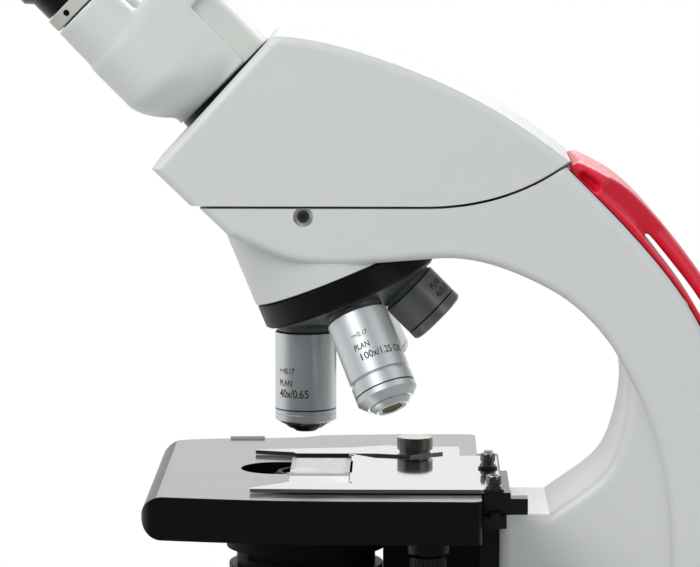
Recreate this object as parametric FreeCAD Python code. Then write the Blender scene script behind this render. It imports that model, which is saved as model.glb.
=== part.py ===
import FreeCAD, Part
import math
import os
from FreeCAD import Placement, Rotation, Vector

# Compound microscope: a tilted four-place nosepiece, a coaxial rack focus, a mechanical stage,
# and a binocular head that folds about one inclined axis.
# Every piece is drawn with X = 0, Y = 0 on the optical axis. +X points away from the user,
# -Y is the user's right-hand side, +Z is up and Z = 0 is the table.

# Clearances shared by all pieces
RUN_FIT = 0.05
BODY_GAP = 0.3
SCREW_FIT = 0.1

# Optical layout
SEAT_Z = 211.4
SEAT_DISTANCE = 63.4
TURRET_TILT = 22.5
LIGHT_BORE = 8.0

# Arm, column and head outline
BODY_HALF = 41.5
COLUMN_HALF = 37.5
COLUMN_FRONT = 84.6
SHELF_Z = 136.0
SEAM_Z = 268.6
SEAM_GAP = 1.1
SEAM_FRONT = -44.4
BOWL_START = 66.0
BOWL_RADIUS = 86.6
BOWL_EDGE = 122.3
HEAD_TAIL = 115.0
HEAD_WALL = 4.0
HEAD_EDGE = 4.0
ARM_EDGE = 4.0
COLUMN_EDGE = 5.0
NOSE_RADIUS = 40.0
NOSE_DROP = 39.4

# Base
BASE_TOP = 42.0
BASE_BOTTOM = 5.0
BASE_FRONT = -118.0
BASE_BACK = 178.0
BASE_HALF = 86.0
BASE_BACK_HALF = 58.0
BASE_WALL = 4.0
PLATE_THICK = 2.5
FOOT_RADIUS = 11.0
TOWER_TOP = 56.0
TOWER_RADIUS = 34.0
COLLAR_RADIUS = 24.0
COLLAR_TOP = 60.0
FIELD_LENS_RADIUS = 18.0
BOLT_RADIUS = 3.0
INLET_Y = -30.0
INLET_HALF = 14.0
INLET_LOW = 12.0
INLET_HIGH = 34.0
SWITCH_X = -62.0
SWITCH_Z = 20.0
SWITCH_HALF = 9.0
SWITCH_HALF_HEIGHT = 5.5
DIAL_X = 6.0
DIAL_Z = 22.0
DIAL_RADIUS = 10.5
SINK_TOP = 22.0
SINK_HALF = 22.0

# Carrying handle
HANDLE_HALF = 36.0
BAR_HALF = 17.0
HANDLE_REACH = 206.0
HANDLE_SKIN = 0.15
HANDLE_EDGE = 6.0
DIMPLE_RADIUS = 1.7

# Focus drive
KNOB_X = 108.0
KNOB_Z = 72.0
MODULE = 1.0
PINION_TEETH = 16
COARSE_SHAFT = 7.0
FINE_SHAFT = 4.0
COARSE_KNOB = 25.0
FINE_KNOB = 15.5
COARSE_START = 40.0
COARSE_END = 66.0
KNOB_REACH = 98.5
CAVITY_HALF = 18.2
CAVITY_BACK = 119.0
CAVITY_LOW = 48.0
CAVITY_HIGH = 131.6
SLIDE_FRONT = 76.0
SLIDE_HALF = 24.0
SLIDE_LOW = 56.0
SLIDE_GAP = 0.4
FOCUS_UP = 15.2
TONGUE_TIP = 92.5
TONGUE_HALF = 7.0
TONGUE_TIP_HALF = 10.0

# Stage
STAGE_TOP = 150.0
STAGE_FRONT = -68.0
STAGE_BACK = 76.0
STAGE_NEAR = -86.7
STAGE_FAR = 97.5
STAGE_THICK = 18.6
STAGE_ROOF = 8.0
BRACKET_TOP = 131.0
SLOT_RADIUS = 16.5
SLOT_FRONT = -12.1
SLOT_BACK = 17.0
WAY_HALF_SPACING = 45.0
RAIL_BACK = 86.5
RAIL_LOW = 137.2
RAIL_HIGH = 142.2
CARRIAGE_BACK = 88.3
CARRIAGE_NEAR = -75.0
CARRIAGE_FAR = -8.0
HOLDER_TOP = 152.0
HOLDER_THICK = 1.6
GLASS_SLIDE = (26.0, 76.0, 1.0)
SLIDE_X = -6.5
SLIDE_Y = -48.5
FINGER_PIVOT = (48.0, 27.0)
FINGER_THICK = 1.4
FINGER_KNOB = 8.0
DRIVE_X = 53.5
DRIVE_Y = -74.0
Y_KNOB_TOP = 124.5
Y_KNOB_LOW = 106.0
X_KNOB_LOW = 86.0
SCREW_PLACES = [(81.2, -71.2), (79.8, -12.0)]

# Condenser
CONDENSER_RADIUS = 30.5
CONDENSER_NECK = 28.0
IRIS_RADIUS = 33.9
IRIS_LOW = 98.0
IRIS_HIGH = 108.4
CONDENSER_SHOULDER = 122.0
CONDENSER_TIP = 148.8
CONDENSER_TIP_RADIUS = 14.5
CARRIER_FACE = 46.0
CARRIER_LOW = 88.0
CONDENSER_SHAFT_X = 56.0
CONDENSER_SHAFT_Z = 102.0
CONDENSER_TEETH = 12

# Nosepiece and objectives
RING_TOP = 40.0
RING_BOTTOM = 51.4
RING_RADIUS = 39.5
TURRET_RADIUS = 38.0
STUD_RADIUS = 6.0
BOSS_HEIGHT = 1.4
BARREL_RADIUS = 13.4
THREAD_RADIUS = 10.16
THREAD_LENGTH = 4.5
SPRUNG_TRAVEL = 1.5

# Binocular head
JOINT_START = 49.2
JOINT_RADIUS = 26.0
HUB_RADIUS = 25.5
HUB_LENGTH = 47.3
ARM_RADIUS = 28.0
ARM_START = 49.5
ARM_FULL = 70.0
ARM_TOP = 98.0
TUBE_RADIUS = 16.0
TUBE_TOP_RADIUS = 14.9
TUBE_END = 114.0
TUBE_OFFSET = 37.0
TUBE_DROP_ANGLE = 30.0
COLLAR_LENGTH = 6.0
SPIGOT_RADIUS = 20.0
EYE_TUBE = 11.6
EYE_TUBE_LOW = 97.5
EYEPIECE_END = 166.0
EYECUP_RADIUS = 17.5
EYECUP_BEVEL = 0.8

# Places worked out from the sizes above
UP = Vector(0, 0, 1)
SIDE = Vector(0, 1, 0)
TILT = math.radians(TURRET_TILT)
APEX = Vector(0, 0, SEAT_Z + SEAT_DISTANCE)
TURRET_AXIS = Vector(math.sin(TILT), 0, -math.cos(TILT))
PITCH_RADIUS = MODULE * PINION_TEETH / 2
CONDENSER_RACK_X = CONDENSER_SHAFT_X - MODULE * CONDENSER_TEETH / 2
TONGUE_ROOT = COLUMN_FRONT - SLIDE_GAP
TONGUE_HIGH = CAVITY_HIGH - FOCUS_UP - 0.6
RACK_X = KNOB_X - PITCH_RADIUS
HOLDER_LOW = HOLDER_TOP - HOLDER_THICK
STAGE_LOW = STAGE_TOP - STAGE_THICK
ROOF_LOW = STAGE_TOP - STAGE_ROOF
HEAD_LOW = SEAM_Z + SEAM_GAP
DIAGONAL = math.sqrt(0.5)
STRETCH = HANDLE_REACH / 206.0
FOLD_ORIGIN = Vector(0, 0, 286.0)
FOLD_AXIS = Vector(-DIAGONAL, 0, DIAGONAL)
FOLD_UP = Vector(DIAGONAL, 0, DIAGONAL)
TUBE_X = TUBE_OFFSET * math.cos(math.radians(TUBE_DROP_ANGLE))
TUBE_Y = -TUBE_OFFSET * math.sin(math.radians(TUBE_DROP_ANGLE))
FRONT_REACH = DIAGONAL * (EYEPIECE_END - TUBE_Y + EYECUP_RADIUS - EYECUP_BEVEL)
AXIS_X = (FRONT_REACH - HANDLE_REACH) / 2


# Drawing helpers

def box(x0, x1, y0, y1, z0, z1):
    return Part.makeBox(x1 - x0, y1 - y0, z1 - z0, Vector(x0, y0, z0))


def cylinder(radius, length, base, axis=UP):
    return Part.makeCylinder(radius, length, base, axis)


def tube(outer, inner, length, base, axis=UP):
    return cylinder(outer, length, base, axis).cut(cylinder(inner, length, base, axis))


def upright(radius, x, y, z0, z1):
    return cylinder(radius, z1 - z0, Vector(x, y, z0))


def crosswise(radius, x, z, y0, y1):
    return cylinder(radius, y1 - y0, Vector(x, y0, z), SIDE)


def side_view(point):
    return Vector(point[0], 0, point[1])


def plan_view(point):
    return Vector(point[0], point[1], 0)


def outline(view, start, *steps):
    """Closed face: a step of one point is a line, of two an arc, of more a smooth curve."""
    edges = []
    here = view(start)
    for step in steps:
        points = [here] + [view(point) for point in step]
        if len(points) == 2:
            edges.append(Part.makeLine(points[0], points[1]))
        elif len(points) == 3:
            edges.append(Part.Arc(*points).toShape())
        else:
            spline = Part.BSplineCurve()
            spline.interpolate(points)
            edges.append(spline.toShape())
        here = points[-1]
    if here.distanceToPoint(view(start)) > 1e-6:
        edges.append(Part.makeLine(here, view(start)))
    return Part.Face(Part.Wire(edges))


def slab(face, half):
    """A side-view face made into a solid that reaches as far to both sides."""
    moved = face.copy()
    moved.translate(Vector(0, -half, 0))
    return moved.extrude(Vector(0, 2 * half, 0))


def layer(face, z0, z1):
    """A plan-view face made into a solid between two heights."""
    moved = face.copy()
    moved.translate(Vector(0, 0, z0))
    return moved.extrude(Vector(0, 0, z1 - z0))


def turned(profile):
    """A closed (radius, height) profile turned about Z."""
    return outline(side_view, profile[0], *[[point] for point in profile[1:]]).revolve(
        Vector(0, 0, 0), UP, 360)


def placed(shape, origin, direction, x_direction=None):
    """A shape drawn along Z, set at an origin along another direction."""
    if x_direction is None:
        rotation = Rotation(UP, direction)
    else:
        rotation = Rotation(x_direction, direction.cross(x_direction), direction, "ZXY")
    moved = shape.copy()
    moved.Placement = Placement(origin, rotation).multiply(shape.Placement)
    return moved


def toothed(pitch_radius, teeth, length):
    """A spur gear about Z with straight-sided teeth, one of them pointing along X."""
    points = []
    for tooth in range(teeth):
        middle = 2 * math.pi * tooth / teeth
        for radius, share in ((-1.1, -0.30), (0.85, -0.13), (0.85, 0.13), (-1.1, 0.30)):
            angle = middle + share * 2 * math.pi / teeth
            reach = pitch_radius + radius * MODULE
            points.append((reach * math.cos(angle), reach * math.sin(angle)))
    face = outline(plan_view, points[0], *[[point] for point in points[1:]])
    return layer(face, 0, length)


def rack(count, depth, width):
    """A rack along Z with teeth towards X; its pitch line is at X = 0 and a space is at Z = 0."""
    pitch = math.pi * MODULE
    length = count * pitch
    points = [(-depth, -length / 2), (-MODULE, -length / 2)]
    for tooth in range(count):
        middle = -length / 2 + (tooth + 0.5) * pitch
        for reach, share in ((-1.1, -0.31), (0.8, -0.12), (0.8, 0.12), (-1.1, 0.31)):
            points.append((reach * MODULE, middle + share * pitch))
    points.append((-MODULE, length / 2))
    points.append((-depth, length / 2))
    face = outline(side_view, points[0], *[[point] for point in points[1:]])
    return slab(face, width / 2)


def fluted(radius, depth, count, z0, z1):
    """A gripped cylinder about Z with shallow flutes round it."""
    points = []
    for flute in range(count):
        for reach, share in ((radius - depth, 0.0), (radius, 0.3), (radius, 0.7)):
            angle = 2 * math.pi * (flute + share) / count
            points.append((reach * math.cos(angle), reach * math.sin(angle)))
    face = outline(plan_view, points[0], *[[point] for point in points[1:]])
    return layer(face, z0, z1)


def mirrored(shape):
    return shape.mirror(Vector(0, 0, 0), SIDE)


def fused(first, *others):
    return first.fuse(list(others)).removeSplitter()


# Stand

def bowl(surface_z, radius, edge):
    """The space above a seam surface that is flat in the middle and rises round the back."""
    centre = SEAM_Z + BOWL_RADIUS
    turn = math.asin((edge - BOWL_START) / radius)
    middle = (BOWL_START + radius * math.sin(turn / 2), centre - radius * math.cos(turn / 2))
    end = (edge, centre - radius * math.cos(turn))
    ceiling = SEAM_Z + 100
    face = outline(side_view, (0, surface_z), [(BOWL_START, surface_z)], [middle, end],
                   [(edge, ceiling)], [(0, ceiling)])
    return face.revolve(Vector(0, 0, 0), UP, 360)


def reached(*points):
    """Side-view points drawn for one reach of the handle, moved to suit its real reach."""
    return [(x * STRETCH, z) for x, z in points]


def arm_back():
    """Points down the back edge of the arm, from the seam to the base."""
    return reached((125.5, 273.0), (151.9, 244.3), (169.8, 217.9), (178.0, 196.0),
                   (181.0, 172.0), (180.0, 140.0), (177.0, 105.0), (174.5, 70.0),
                   (174.0, BASE_TOP))


def arm_side():
    return outline(
        side_view, (SEAM_FRONT, SEAM_Z + 18),
        [(SEAM_FRONT, SEAM_Z)],
        [(-31.5, 256.3)],
        [(-17.6, 250.6), (-6.1, 246.2), (6.8, 244.3), (22.2, 244.4)],
        reached((55.9, 247.0)),
        reached((75.5, 245.7), (96.0, 238.6), (112.2, 229.7), (124.4, 219.0), (132.5, 208.8),
                (137.8, 199.6)),
        reached((148.2, 177.8), (155.6, 153.0), (159.0, 114.9), (160.5, BASE_TOP)),
        [arm_back()[-1]],
        arm_back()[-2::-1] + reached((111.6, 286.8)))


def column_side():
    return outline(
        side_view, (COLUMN_FRONT, BASE_TOP),
        [(COLUMN_FRONT, SHELF_Z)],
        reached((106.0, SHELF_Z)),
        reached((119.5, 145.6), (130.2, 155.4), (136.2, 169.8), (139.0, 185.0), (137.8, 199.6)),
        reached((160.0, 190.0)),
        reached((166.0, BASE_TOP)))


def long_edges(shape, half):
    """Edges that lie along a flat side face at a half width, all but those on the base."""
    found = []
    for edge in shape.Edges:
        limits = edge.BoundBox
        flat = limits.YMax - limits.YMin < 1e-3
        raised = limits.ZMax > BASE_TOP + 1
        if flat and raised and abs(abs(limits.YMax) - half) < 1e-3:
            found.append(edge)
    return found


def longest(edges, count):
    return sorted(edges, key=lambda edge: edge.Length)[-count:]


def bolt_places():
    back = arm_back()[-1][0]
    return [(x, y) for x in (COLUMN_FRONT + 11.4, back - 14.0) for y in (-29.0, 29.0)]


def head_screw_z():
    return SEAM_Z - 3.4


def arm_casting():
    side = slab(arm_side(), BODY_HALF)
    side = side.makeFillet(ARM_EDGE, long_edges(side, BODY_HALF))
    column = slab(column_side(), COLUMN_HALF)
    column = column.makeFillet(COLUMN_EDGE, long_edges(column, COLUMN_HALF))
    nose = cylinder(NOSE_RADIUS, NOSE_DROP, APEX, TURRET_AXIS)
    nose = nose.common(box(SEAM_FRONT, 60, -BODY_HALF, BODY_HALF, 200, SEAM_Z))
    body = side.fuse([column, nose])
    cuts = [bowl(SEAM_Z, BOWL_RADIUS, BOWL_EDGE)]
    recess_base = APEX + TURRET_AXIS * NOSE_DROP
    cuts.append(cylinder(RING_RADIUS + 0.7, 40, recess_base, TURRET_AXIS))
    cuts.append(upright(SPIGOT_RADIUS + RUN_FIT, 0, 0, SEAM_Z - 8.4, SEAM_Z))
    cuts.append(upright(LIGHT_BORE, 0, 0, SEAT_Z, SEAM_Z))
    cuts.append(crosswise(4.3, 0, head_screw_z(), -BODY_HALF - 1, -BODY_HALF + 3))
    cuts.append(crosswise(2.0 + SCREW_FIT, 0, head_screw_z(), -BODY_HALF, -SPIGOT_RADIUS))
    cuts.append(box(COLUMN_FRONT - 1, CAVITY_BACK, -CAVITY_HALF, CAVITY_HALF,
                    CAVITY_LOW, CAVITY_HIGH))
    cuts.append(crosswise(11.0, KNOB_X, KNOB_Z, -COLUMN_HALF - 1, COLUMN_HALF + 1))
    for x, y in bolt_places():
        cuts.append(upright(BOLT_RADIUS + SCREW_FIT, x, y, BASE_TOP - 1, BASE_TOP + 16))
    return body.cut(cuts)


def base_plan(inset):
    front = BASE_FRONT + inset
    back = BASE_BACK - inset
    half = BASE_HALF - inset
    back_half = BASE_BACK_HALF - inset
    corner = 30.0 - inset
    bevel = corner * (1 - DIAGONAL)
    return outline(
        plan_view, (front, half - corner),
        [(front + bevel, half - bevel), (front + corner, half)],
        [(60.0, half)],
        [(100.0, half - 4.0), (140.0, half - 14.0), (back - 8, back_half + 3)],
        [(back - 1.5, back_half - 1), (back, back_half - 6)],
        [(back, 6 - back_half)],
        [(back - 1.5, 1 - back_half), (back - 8, -back_half - 3)],
        [(140.0, 14.0 - half), (100.0, 4.0 - half), (60.0, -half)],
        [(front + corner, -half)],
        [(front + bevel, bevel - half), (front, corner - half)])


def base_side(inset):
    top = BASE_TOP - inset
    return outline(
        side_view, (BASE_FRONT - 1, BASE_BOTTOM - 1),
        [(BASE_FRONT - 1, top - 16)],
        [(-113.0, top - 11), (-103.0, top - 8)],
        [(30.0, top)],
        [(BASE_BACK + 1, top)],
        [(BASE_BACK + 1, BASE_BOTTOM - 1)])


def foot_places():
    return [(-88.0, -58.0), (-88.0, 58.0), (150.0, -44.0), (150.0, 44.0)]


def base_housing():
    outer = layer(base_plan(0), BASE_BOTTOM, BASE_TOP + 1).common(slab(base_side(0), 120))
    inner = layer(base_plan(BASE_WALL), BASE_BOTTOM - 1, BASE_TOP)
    inner = inner.common(slab(base_side(BASE_WALL), 120))
    tower = turned([(0, 30), (TOWER_RADIUS + 4, 30), (TOWER_RADIUS + 4, BASE_TOP - 1),
                    (TOWER_RADIUS, BASE_TOP + 4), (TOWER_RADIUS, TOWER_TOP - 3),
                    (TOWER_RADIUS - 3, TOWER_TOP), (0, TOWER_TOP)])
    posts = []
    for x, y in foot_places():
        post = upright(6, x, y, BASE_BOTTOM + PLATE_THICK, BASE_TOP - 1)
        posts.append(post.common(outer))
    body = outer.cut(inner).fuse([tower] + posts)
    cuts = [upright(COLLAR_RADIUS + SCREW_FIT, 0, 0, 10, TOWER_TOP + 1)]
    for x, y in bolt_places():
        cuts.append(upright(BOLT_RADIUS + SCREW_FIT, x, y, BASE_TOP - 6, BASE_TOP + 1))
    cuts.append(box(BASE_BACK - 8, BASE_BACK + 1, INLET_Y - INLET_HALF + 2,
                    INLET_Y + INLET_HALF - 2, INLET_LOW + 2, INLET_HIGH - 2))
    cuts.append(box(SWITCH_X - SWITCH_HALF - 0.5, SWITCH_X + SWITCH_HALF + 0.5, -BASE_HALF - 1,
                    -BASE_HALF + 6, SWITCH_Z - SWITCH_HALF_HEIGHT - 0.5,
                    SWITCH_Z + SWITCH_HALF_HEIGHT + 0.5))
    cuts.append(crosswise(3.0 + RUN_FIT, DIAL_X, DIAL_Z, -BASE_HALF - 1, -BASE_HALF + 6))
    return body.cut(cuts)


def base_plate():
    plate = layer(base_plan(BASE_WALL + SCREW_FIT), BASE_BOTTOM, BASE_BOTTOM + PLATE_THICK)
    vents = []
    for row in range(7):
        x = 24.0 + 9 * row
        vents.append(box(x, x + 3, -28, 28, BASE_BOTTOM - 1, BASE_BOTTOM + PLATE_THICK + 1))
    return plate.cut(vents)


def rubber_feet():
    feet = []
    for x, y in foot_places():
        foot = turned([(0, 0), (FOOT_RADIUS - 1, 0), (FOOT_RADIUS, 1),
                       (FOOT_RADIUS - 0.6, BASE_BOTTOM), (0, BASE_BOTTOM)])
        foot.translate(Vector(x, y, 0))
        feet.append(foot)
    return feet


def arm_bolts():
    bolts = []
    roof_low = BASE_TOP - BASE_WALL
    for x, y in bolt_places():
        head = upright(5.0, x, y, roof_low - 5, roof_low)
        socket = upright(2.3, x, y, roof_low - 5, roof_low - 2)
        shank = upright(BOLT_RADIUS, x, y, roof_low, BASE_TOP + 15)
        bolts.append(head.cut(socket).fuse(shank).removeSplitter())
    return bolts


def handle_dimple():
    """The long dimple in one side of the handle that holds its screw."""
    upper, lower = [Vector(x, -HANDLE_HALF - 1, z)
                    for x, z in reached((119.6, 282.0), (125.0, 277.7))]
    depth = 5.0
    across = (lower - upper).cross(SIDE).normalize() * DIMPLE_RADIUS
    corners = [upper + across, lower + across, lower - across, upper - across, upper + across]
    middle = Part.Face(Part.makePolygon(corners)).extrude(SIDE * depth)
    ends = [cylinder(DIMPLE_RADIUS, depth, end, SIDE) for end in (upper, lower)]
    return fused(middle, *ends)


def rear_handle():
    outer = outline(
        side_view, reached((106.0, 291.0))[0],
        reached((114.9, 289.9)),
        reached((125.5, 284.9), (135.7, 278.9), (149.0, 266.4), (172.5, 236.8), (189.5, 209.0),
                (201.5, 177.0), (206.0, 134.0), (204.5, 105.0), (197.0, 74.0),
                (186.0, 57.0), (170.0, 50.0)),
        reached((167.0, 60.0)),
        reached((168.0, 150.0)),
        reached((160.0, 215.0)),
        reached((120.0, 268.0)),
        reached((104.0, 282.0)))
    hole = outline(
        side_view, reached((138.5, 265.6))[0],
        reached((145.0, 259.6), (158.0, 244.4), (171.5, 226.4), (182.4, 205.4), (192.8, 174.4),
                (196.0, 142.0), (194.6, 107.0), (190.0, 86.0)),
        reached((184.5, 79.0), (178.6, 84.0)),
        reached((179.7, 105.0), (182.7, 140.0), (183.7, 172.0), (180.6, 196.9), (172.0, 219.6),
                (158.0, 240.4), (145.0, 257.0), (138.5, 265.6)))
    waist = outline(
        side_view, reached((126.5, 275.6))[0],
        reached((145.0, 257.4), (158.0, 240.9), (172.5, 219.9), (181.0, 197.2), (184.1, 172.0),
                (183.1, 140.0), (180.1, 105.0), (179.0, 86.0)),
        reached((230.0, 70.0)),
        reached((230.0, 250.0)),
        reached((139.0, 290.0)))
    sides = outline(plan_view, reached((124.0, HANDLE_HALF + 1))[0], reached((152.0, BAR_HALF)),
                    reached((230.0, BAR_HALF)), reached((230.0, HANDLE_HALF + 9)),
                    reached((124.0, HANDLE_HALF + 9)))
    trim = layer(sides, 0, SEAM_Z + 50).common(slab(waist, HANDLE_HALF + 10))
    body = slab(outer, HANDLE_HALF)
    body = body.makeFillet(HANDLE_EDGE, longest(long_edges(body, HANDLE_HALF), 2))
    body = body.cut([trim, mirrored(trim)])
    body = body.cut(slab(hole, HANDLE_HALF + 1))
    body = body.makeFillet(HANDLE_EDGE, longest(long_edges(body, BAR_HALF), 2))
    arm = slab(arm_side(), BODY_HALF)
    arm.translate(Vector(HANDLE_SKIN, 0, HANDLE_SKIN))
    dimple = handle_dimple()
    for tool in (arm, bowl(SEAM_Z, BOWL_RADIUS, BOWL_EDGE), dimple, mirrored(dimple)):
        body = body.cut(tool)
    return body


def lamp_collar():
    rim = COLLAR_RADIUS + 5
    seat = FIELD_LENS_RADIUS + SCREW_FIT
    return turned([(FIELD_LENS_RADIUS - 2, 40), (COLLAR_RADIUS, 40), (COLLAR_RADIUS, TOWER_TOP),
                   (rim, TOWER_TOP), (rim, COLLAR_TOP - 1), (rim - 1, COLLAR_TOP),
                   (COLLAR_RADIUS - 2, COLLAR_TOP), (COLLAR_RADIUS - 2, COLLAR_TOP - 2),
                   (seat, COLLAR_TOP - 2), (seat, COLLAR_TOP - 7),
                   (FIELD_LENS_RADIUS - 2, COLLAR_TOP - 7)])


def domed(radius, edge_z, rise, z0):
    """A lens: a round disc whose top is a spherical cap that bulges by a rise."""
    sphere_radius = (radius * radius + rise * rise) / (2 * rise)
    half_turn = math.asin(radius / sphere_radius) / 2
    centre = edge_z + rise - sphere_radius
    middle = (sphere_radius * math.sin(half_turn), centre + sphere_radius * math.cos(half_turn))
    face = outline(side_view, (0, z0), [(radius, z0)], [(radius, edge_z)],
                   [middle, (0, edge_z + rise)])
    return face.revolve(Vector(0, 0, 0), UP, 360)


def field_lens():
    return domed(FIELD_LENS_RADIUS, COLLAR_TOP - 4.5, 2.0, COLLAR_TOP - 7)


def led_module():
    board = upright(16, 0, 0, SINK_TOP, SINK_TOP + 1.6)
    emitter = domed(3.0, SINK_TOP + 2.6, 1.6, SINK_TOP + 1.6)
    return fused(board, emitter)


def heat_sink():
    low = BASE_BOTTOM + PLATE_THICK
    block = box(-SINK_HALF, SINK_HALF, -SINK_HALF, SINK_HALF, SINK_TOP - 4, SINK_TOP)
    fins = []
    count = 8
    pitch = (2 * SINK_HALF - 2) / (count - 1)
    for index in range(count):
        y = -SINK_HALF + index * pitch
        fins.append(box(-SINK_HALF, SINK_HALF, y, y + 2, low, SINK_TOP - 4))
    return fused(block, *fins)


def power_inlet():
    body = box(BASE_BACK - 22, BASE_BACK, INLET_Y - INLET_HALF + 2.3, INLET_Y + INLET_HALF - 2.3,
               INLET_LOW + 2.3, INLET_HIGH - 2.3)
    flange = box(BASE_BACK, BASE_BACK + 2, INLET_Y - INLET_HALF, INLET_Y + INLET_HALF,
                 INLET_LOW, INLET_HIGH)
    recess = box(BASE_BACK - 15, BASE_BACK + 3, INLET_Y - 9, INLET_Y + 9, INLET_LOW + 5,
                 INLET_HIGH - 5)
    middle = (INLET_LOW + INLET_HIGH) / 2
    pins = []
    for y, z in ((-5, middle - 2), (0, middle + 2), (5, middle - 2)):
        pins.append(box(BASE_BACK - 15, BASE_BACK - 2, INLET_Y + y - 0.8, INLET_Y + y + 0.8,
                        z - 2, z + 2))
    return fused(body, flange).cut(recess).fuse(pins)


def power_switch():
    face = outline(plan_view, (-SWITCH_HALF, 0), [(0, 2.2)], [(SWITCH_HALF, 0)],
                   [(SWITCH_HALF - 1, 5)], [(1 - SWITCH_HALF, 5)])
    rocker = layer(face, -SWITCH_HALF_HEIGHT, SWITCH_HALF_HEIGHT)
    stubs = upright(1.3, 0, 4, -SWITCH_HALF_HEIGHT - 0.4, SWITCH_HALF_HEIGHT + 0.4)
    rocker = fused(rocker, stubs)
    rocker.rotate(Vector(0, 4, 0), UP, 6)
    rocker.translate(Vector(SWITCH_X, -BASE_HALF - 0.6, SWITCH_Z))
    return rocker


def brightness_dial():
    grip = fluted(DIAL_RADIUS, 0.6, 24, BODY_GAP, 8)
    cap = turned([(0, 8), (DIAL_RADIUS - 1, 8), (DIAL_RADIUS - 2, 9.5), (0, 9.5)])
    shaft = upright(3, 0, 0, -7, BODY_GAP)
    dial = fused(grip, cap, shaft)
    return placed(dial, Vector(DIAL_X, -BASE_HALF, DIAL_Z), Vector(0, -1, 0))


# Focus drive

def shaft_bushes():
    inner = COARSE_SHAFT + RUN_FIT
    bush = turned([(inner, CAVITY_HALF), (11 - SCREW_FIT, CAVITY_HALF),
                   (11 - SCREW_FIT, COLUMN_HALF), (16, COLUMN_HALF), (16, COLUMN_HALF + 2),
                   (inner, COLUMN_HALF + 2)])
    right = placed(bush, Vector(KNOB_X, 0, KNOB_Z), Vector(0, -1, 0))
    return [right, mirrored(right)]


def coarse_shaft():
    half = COARSE_END - 5
    gear = toothed(PITCH_RADIUS, PINION_TEETH, 14)
    gear.translate(Vector(0, 0, -7))
    rod = upright(COARSE_SHAFT - 0.1, 0, 0, -half, half)
    bore = upright(FINE_SHAFT + RUN_FIT, 0, 0, -half - 1, half + 1)
    shaft = rod.fuse(gear).cut(bore)
    return placed(shaft, Vector(KNOB_X, 0, KNOB_Z), SIDE, Vector(-1, 0, 0))


def coarse_knobs():
    bore = COARSE_SHAFT
    waist = turned([(bore, COARSE_START), (COARSE_KNOB - 5, COARSE_START),
                    (COARSE_KNOB - 1, COARSE_START + 4), (COARSE_KNOB - 1, COARSE_END - 3),
                    (COARSE_KNOB - 4, COARSE_END), (FINE_SHAFT + 1, COARSE_END),
                    (FINE_SHAFT + 1, COARSE_END - 4.5), (bore, COARSE_END - 4.5)])
    grip = fluted(COARSE_KNOB, 1.0, 36, COARSE_START + 5, COARSE_END - 5)
    grip = grip.cut(upright(COARSE_KNOB - 3, 0, 0, COARSE_START, COARSE_END))
    knob = fused(waist, grip)
    right = placed(knob, Vector(KNOB_X, 0, KNOB_Z), Vector(0, -1, 0))
    return [right, mirrored(right)]


def fine_drive():
    """The two fine knobs and the shaft that joins them through the coarse shaft."""
    start = COARSE_END + BODY_GAP
    bore = FINE_SHAFT + SCREW_FIT
    core = turned([(bore, start), (FINE_KNOB - 5, start), (FINE_KNOB - 5, start + 4),
                   (FINE_KNOB - 1, start + 6), (FINE_KNOB - 1, KNOB_REACH - 3),
                   (FINE_KNOB - 4, KNOB_REACH), (0, KNOB_REACH), (0, KNOB_REACH - 5.9),
                   (bore, KNOB_REACH - 5.9)])
    grip = fluted(FINE_KNOB, 0.7, 30, start + 8, KNOB_REACH - 5)
    grip = grip.cut(upright(FINE_KNOB - 3, 0, 0, start, KNOB_REACH))
    knob = fused(core, grip)
    right = placed(knob, Vector(KNOB_X, 0, KNOB_Z), Vector(0, -1, 0))
    shaft = crosswise(FINE_SHAFT, KNOB_X, KNOB_Z, 6 - KNOB_REACH, KNOB_REACH - 6)
    return [right, mirrored(right), shaft]


def tongue_plan(gap):
    return outline(plan_view, (TONGUE_ROOT - 1, -TONGUE_HALF - gap),
                   [(TONGUE_ROOT, -TONGUE_HALF - gap)],
                   [(TONGUE_TIP + gap, -TONGUE_TIP_HALF - gap)],
                   [(TONGUE_TIP + gap, TONGUE_TIP_HALF + gap)],
                   [(TONGUE_ROOT, TONGUE_HALF + gap)],
                   [(TONGUE_ROOT - 1, TONGUE_HALF + gap)])


def focus_slide():
    block = box(SLIDE_FRONT, TONGUE_ROOT, -SLIDE_HALF, SLIDE_HALF, SLIDE_LOW, BRACKET_TOP)
    tongue = layer(tongue_plan(0), SLIDE_LOW, TONGUE_HIGH)
    return fused(block, tongue)


def focus_guide():
    low = CAVITY_LOW
    block = box(COLUMN_FRONT, TONGUE_TIP + 3, -CAVITY_HALF, CAVITY_HALF, low, CAVITY_HIGH)
    groove = layer(tongue_plan(0.1), low - 1, CAVITY_HIGH + 1)
    window = box(TONGUE_TIP, TONGUE_TIP + 4, -6, 6, low - 1, CAVITY_HIGH - 27)
    return block.cut([groove, window])


def focus_rack():
    teeth = rack(11, RACK_X - TONGUE_TIP, 10)
    pitch = math.pi * MODULE
    teeth.translate(Vector(RACK_X, 0, KNOB_Z - 2.5 * pitch + pitch))
    return teeth


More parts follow.
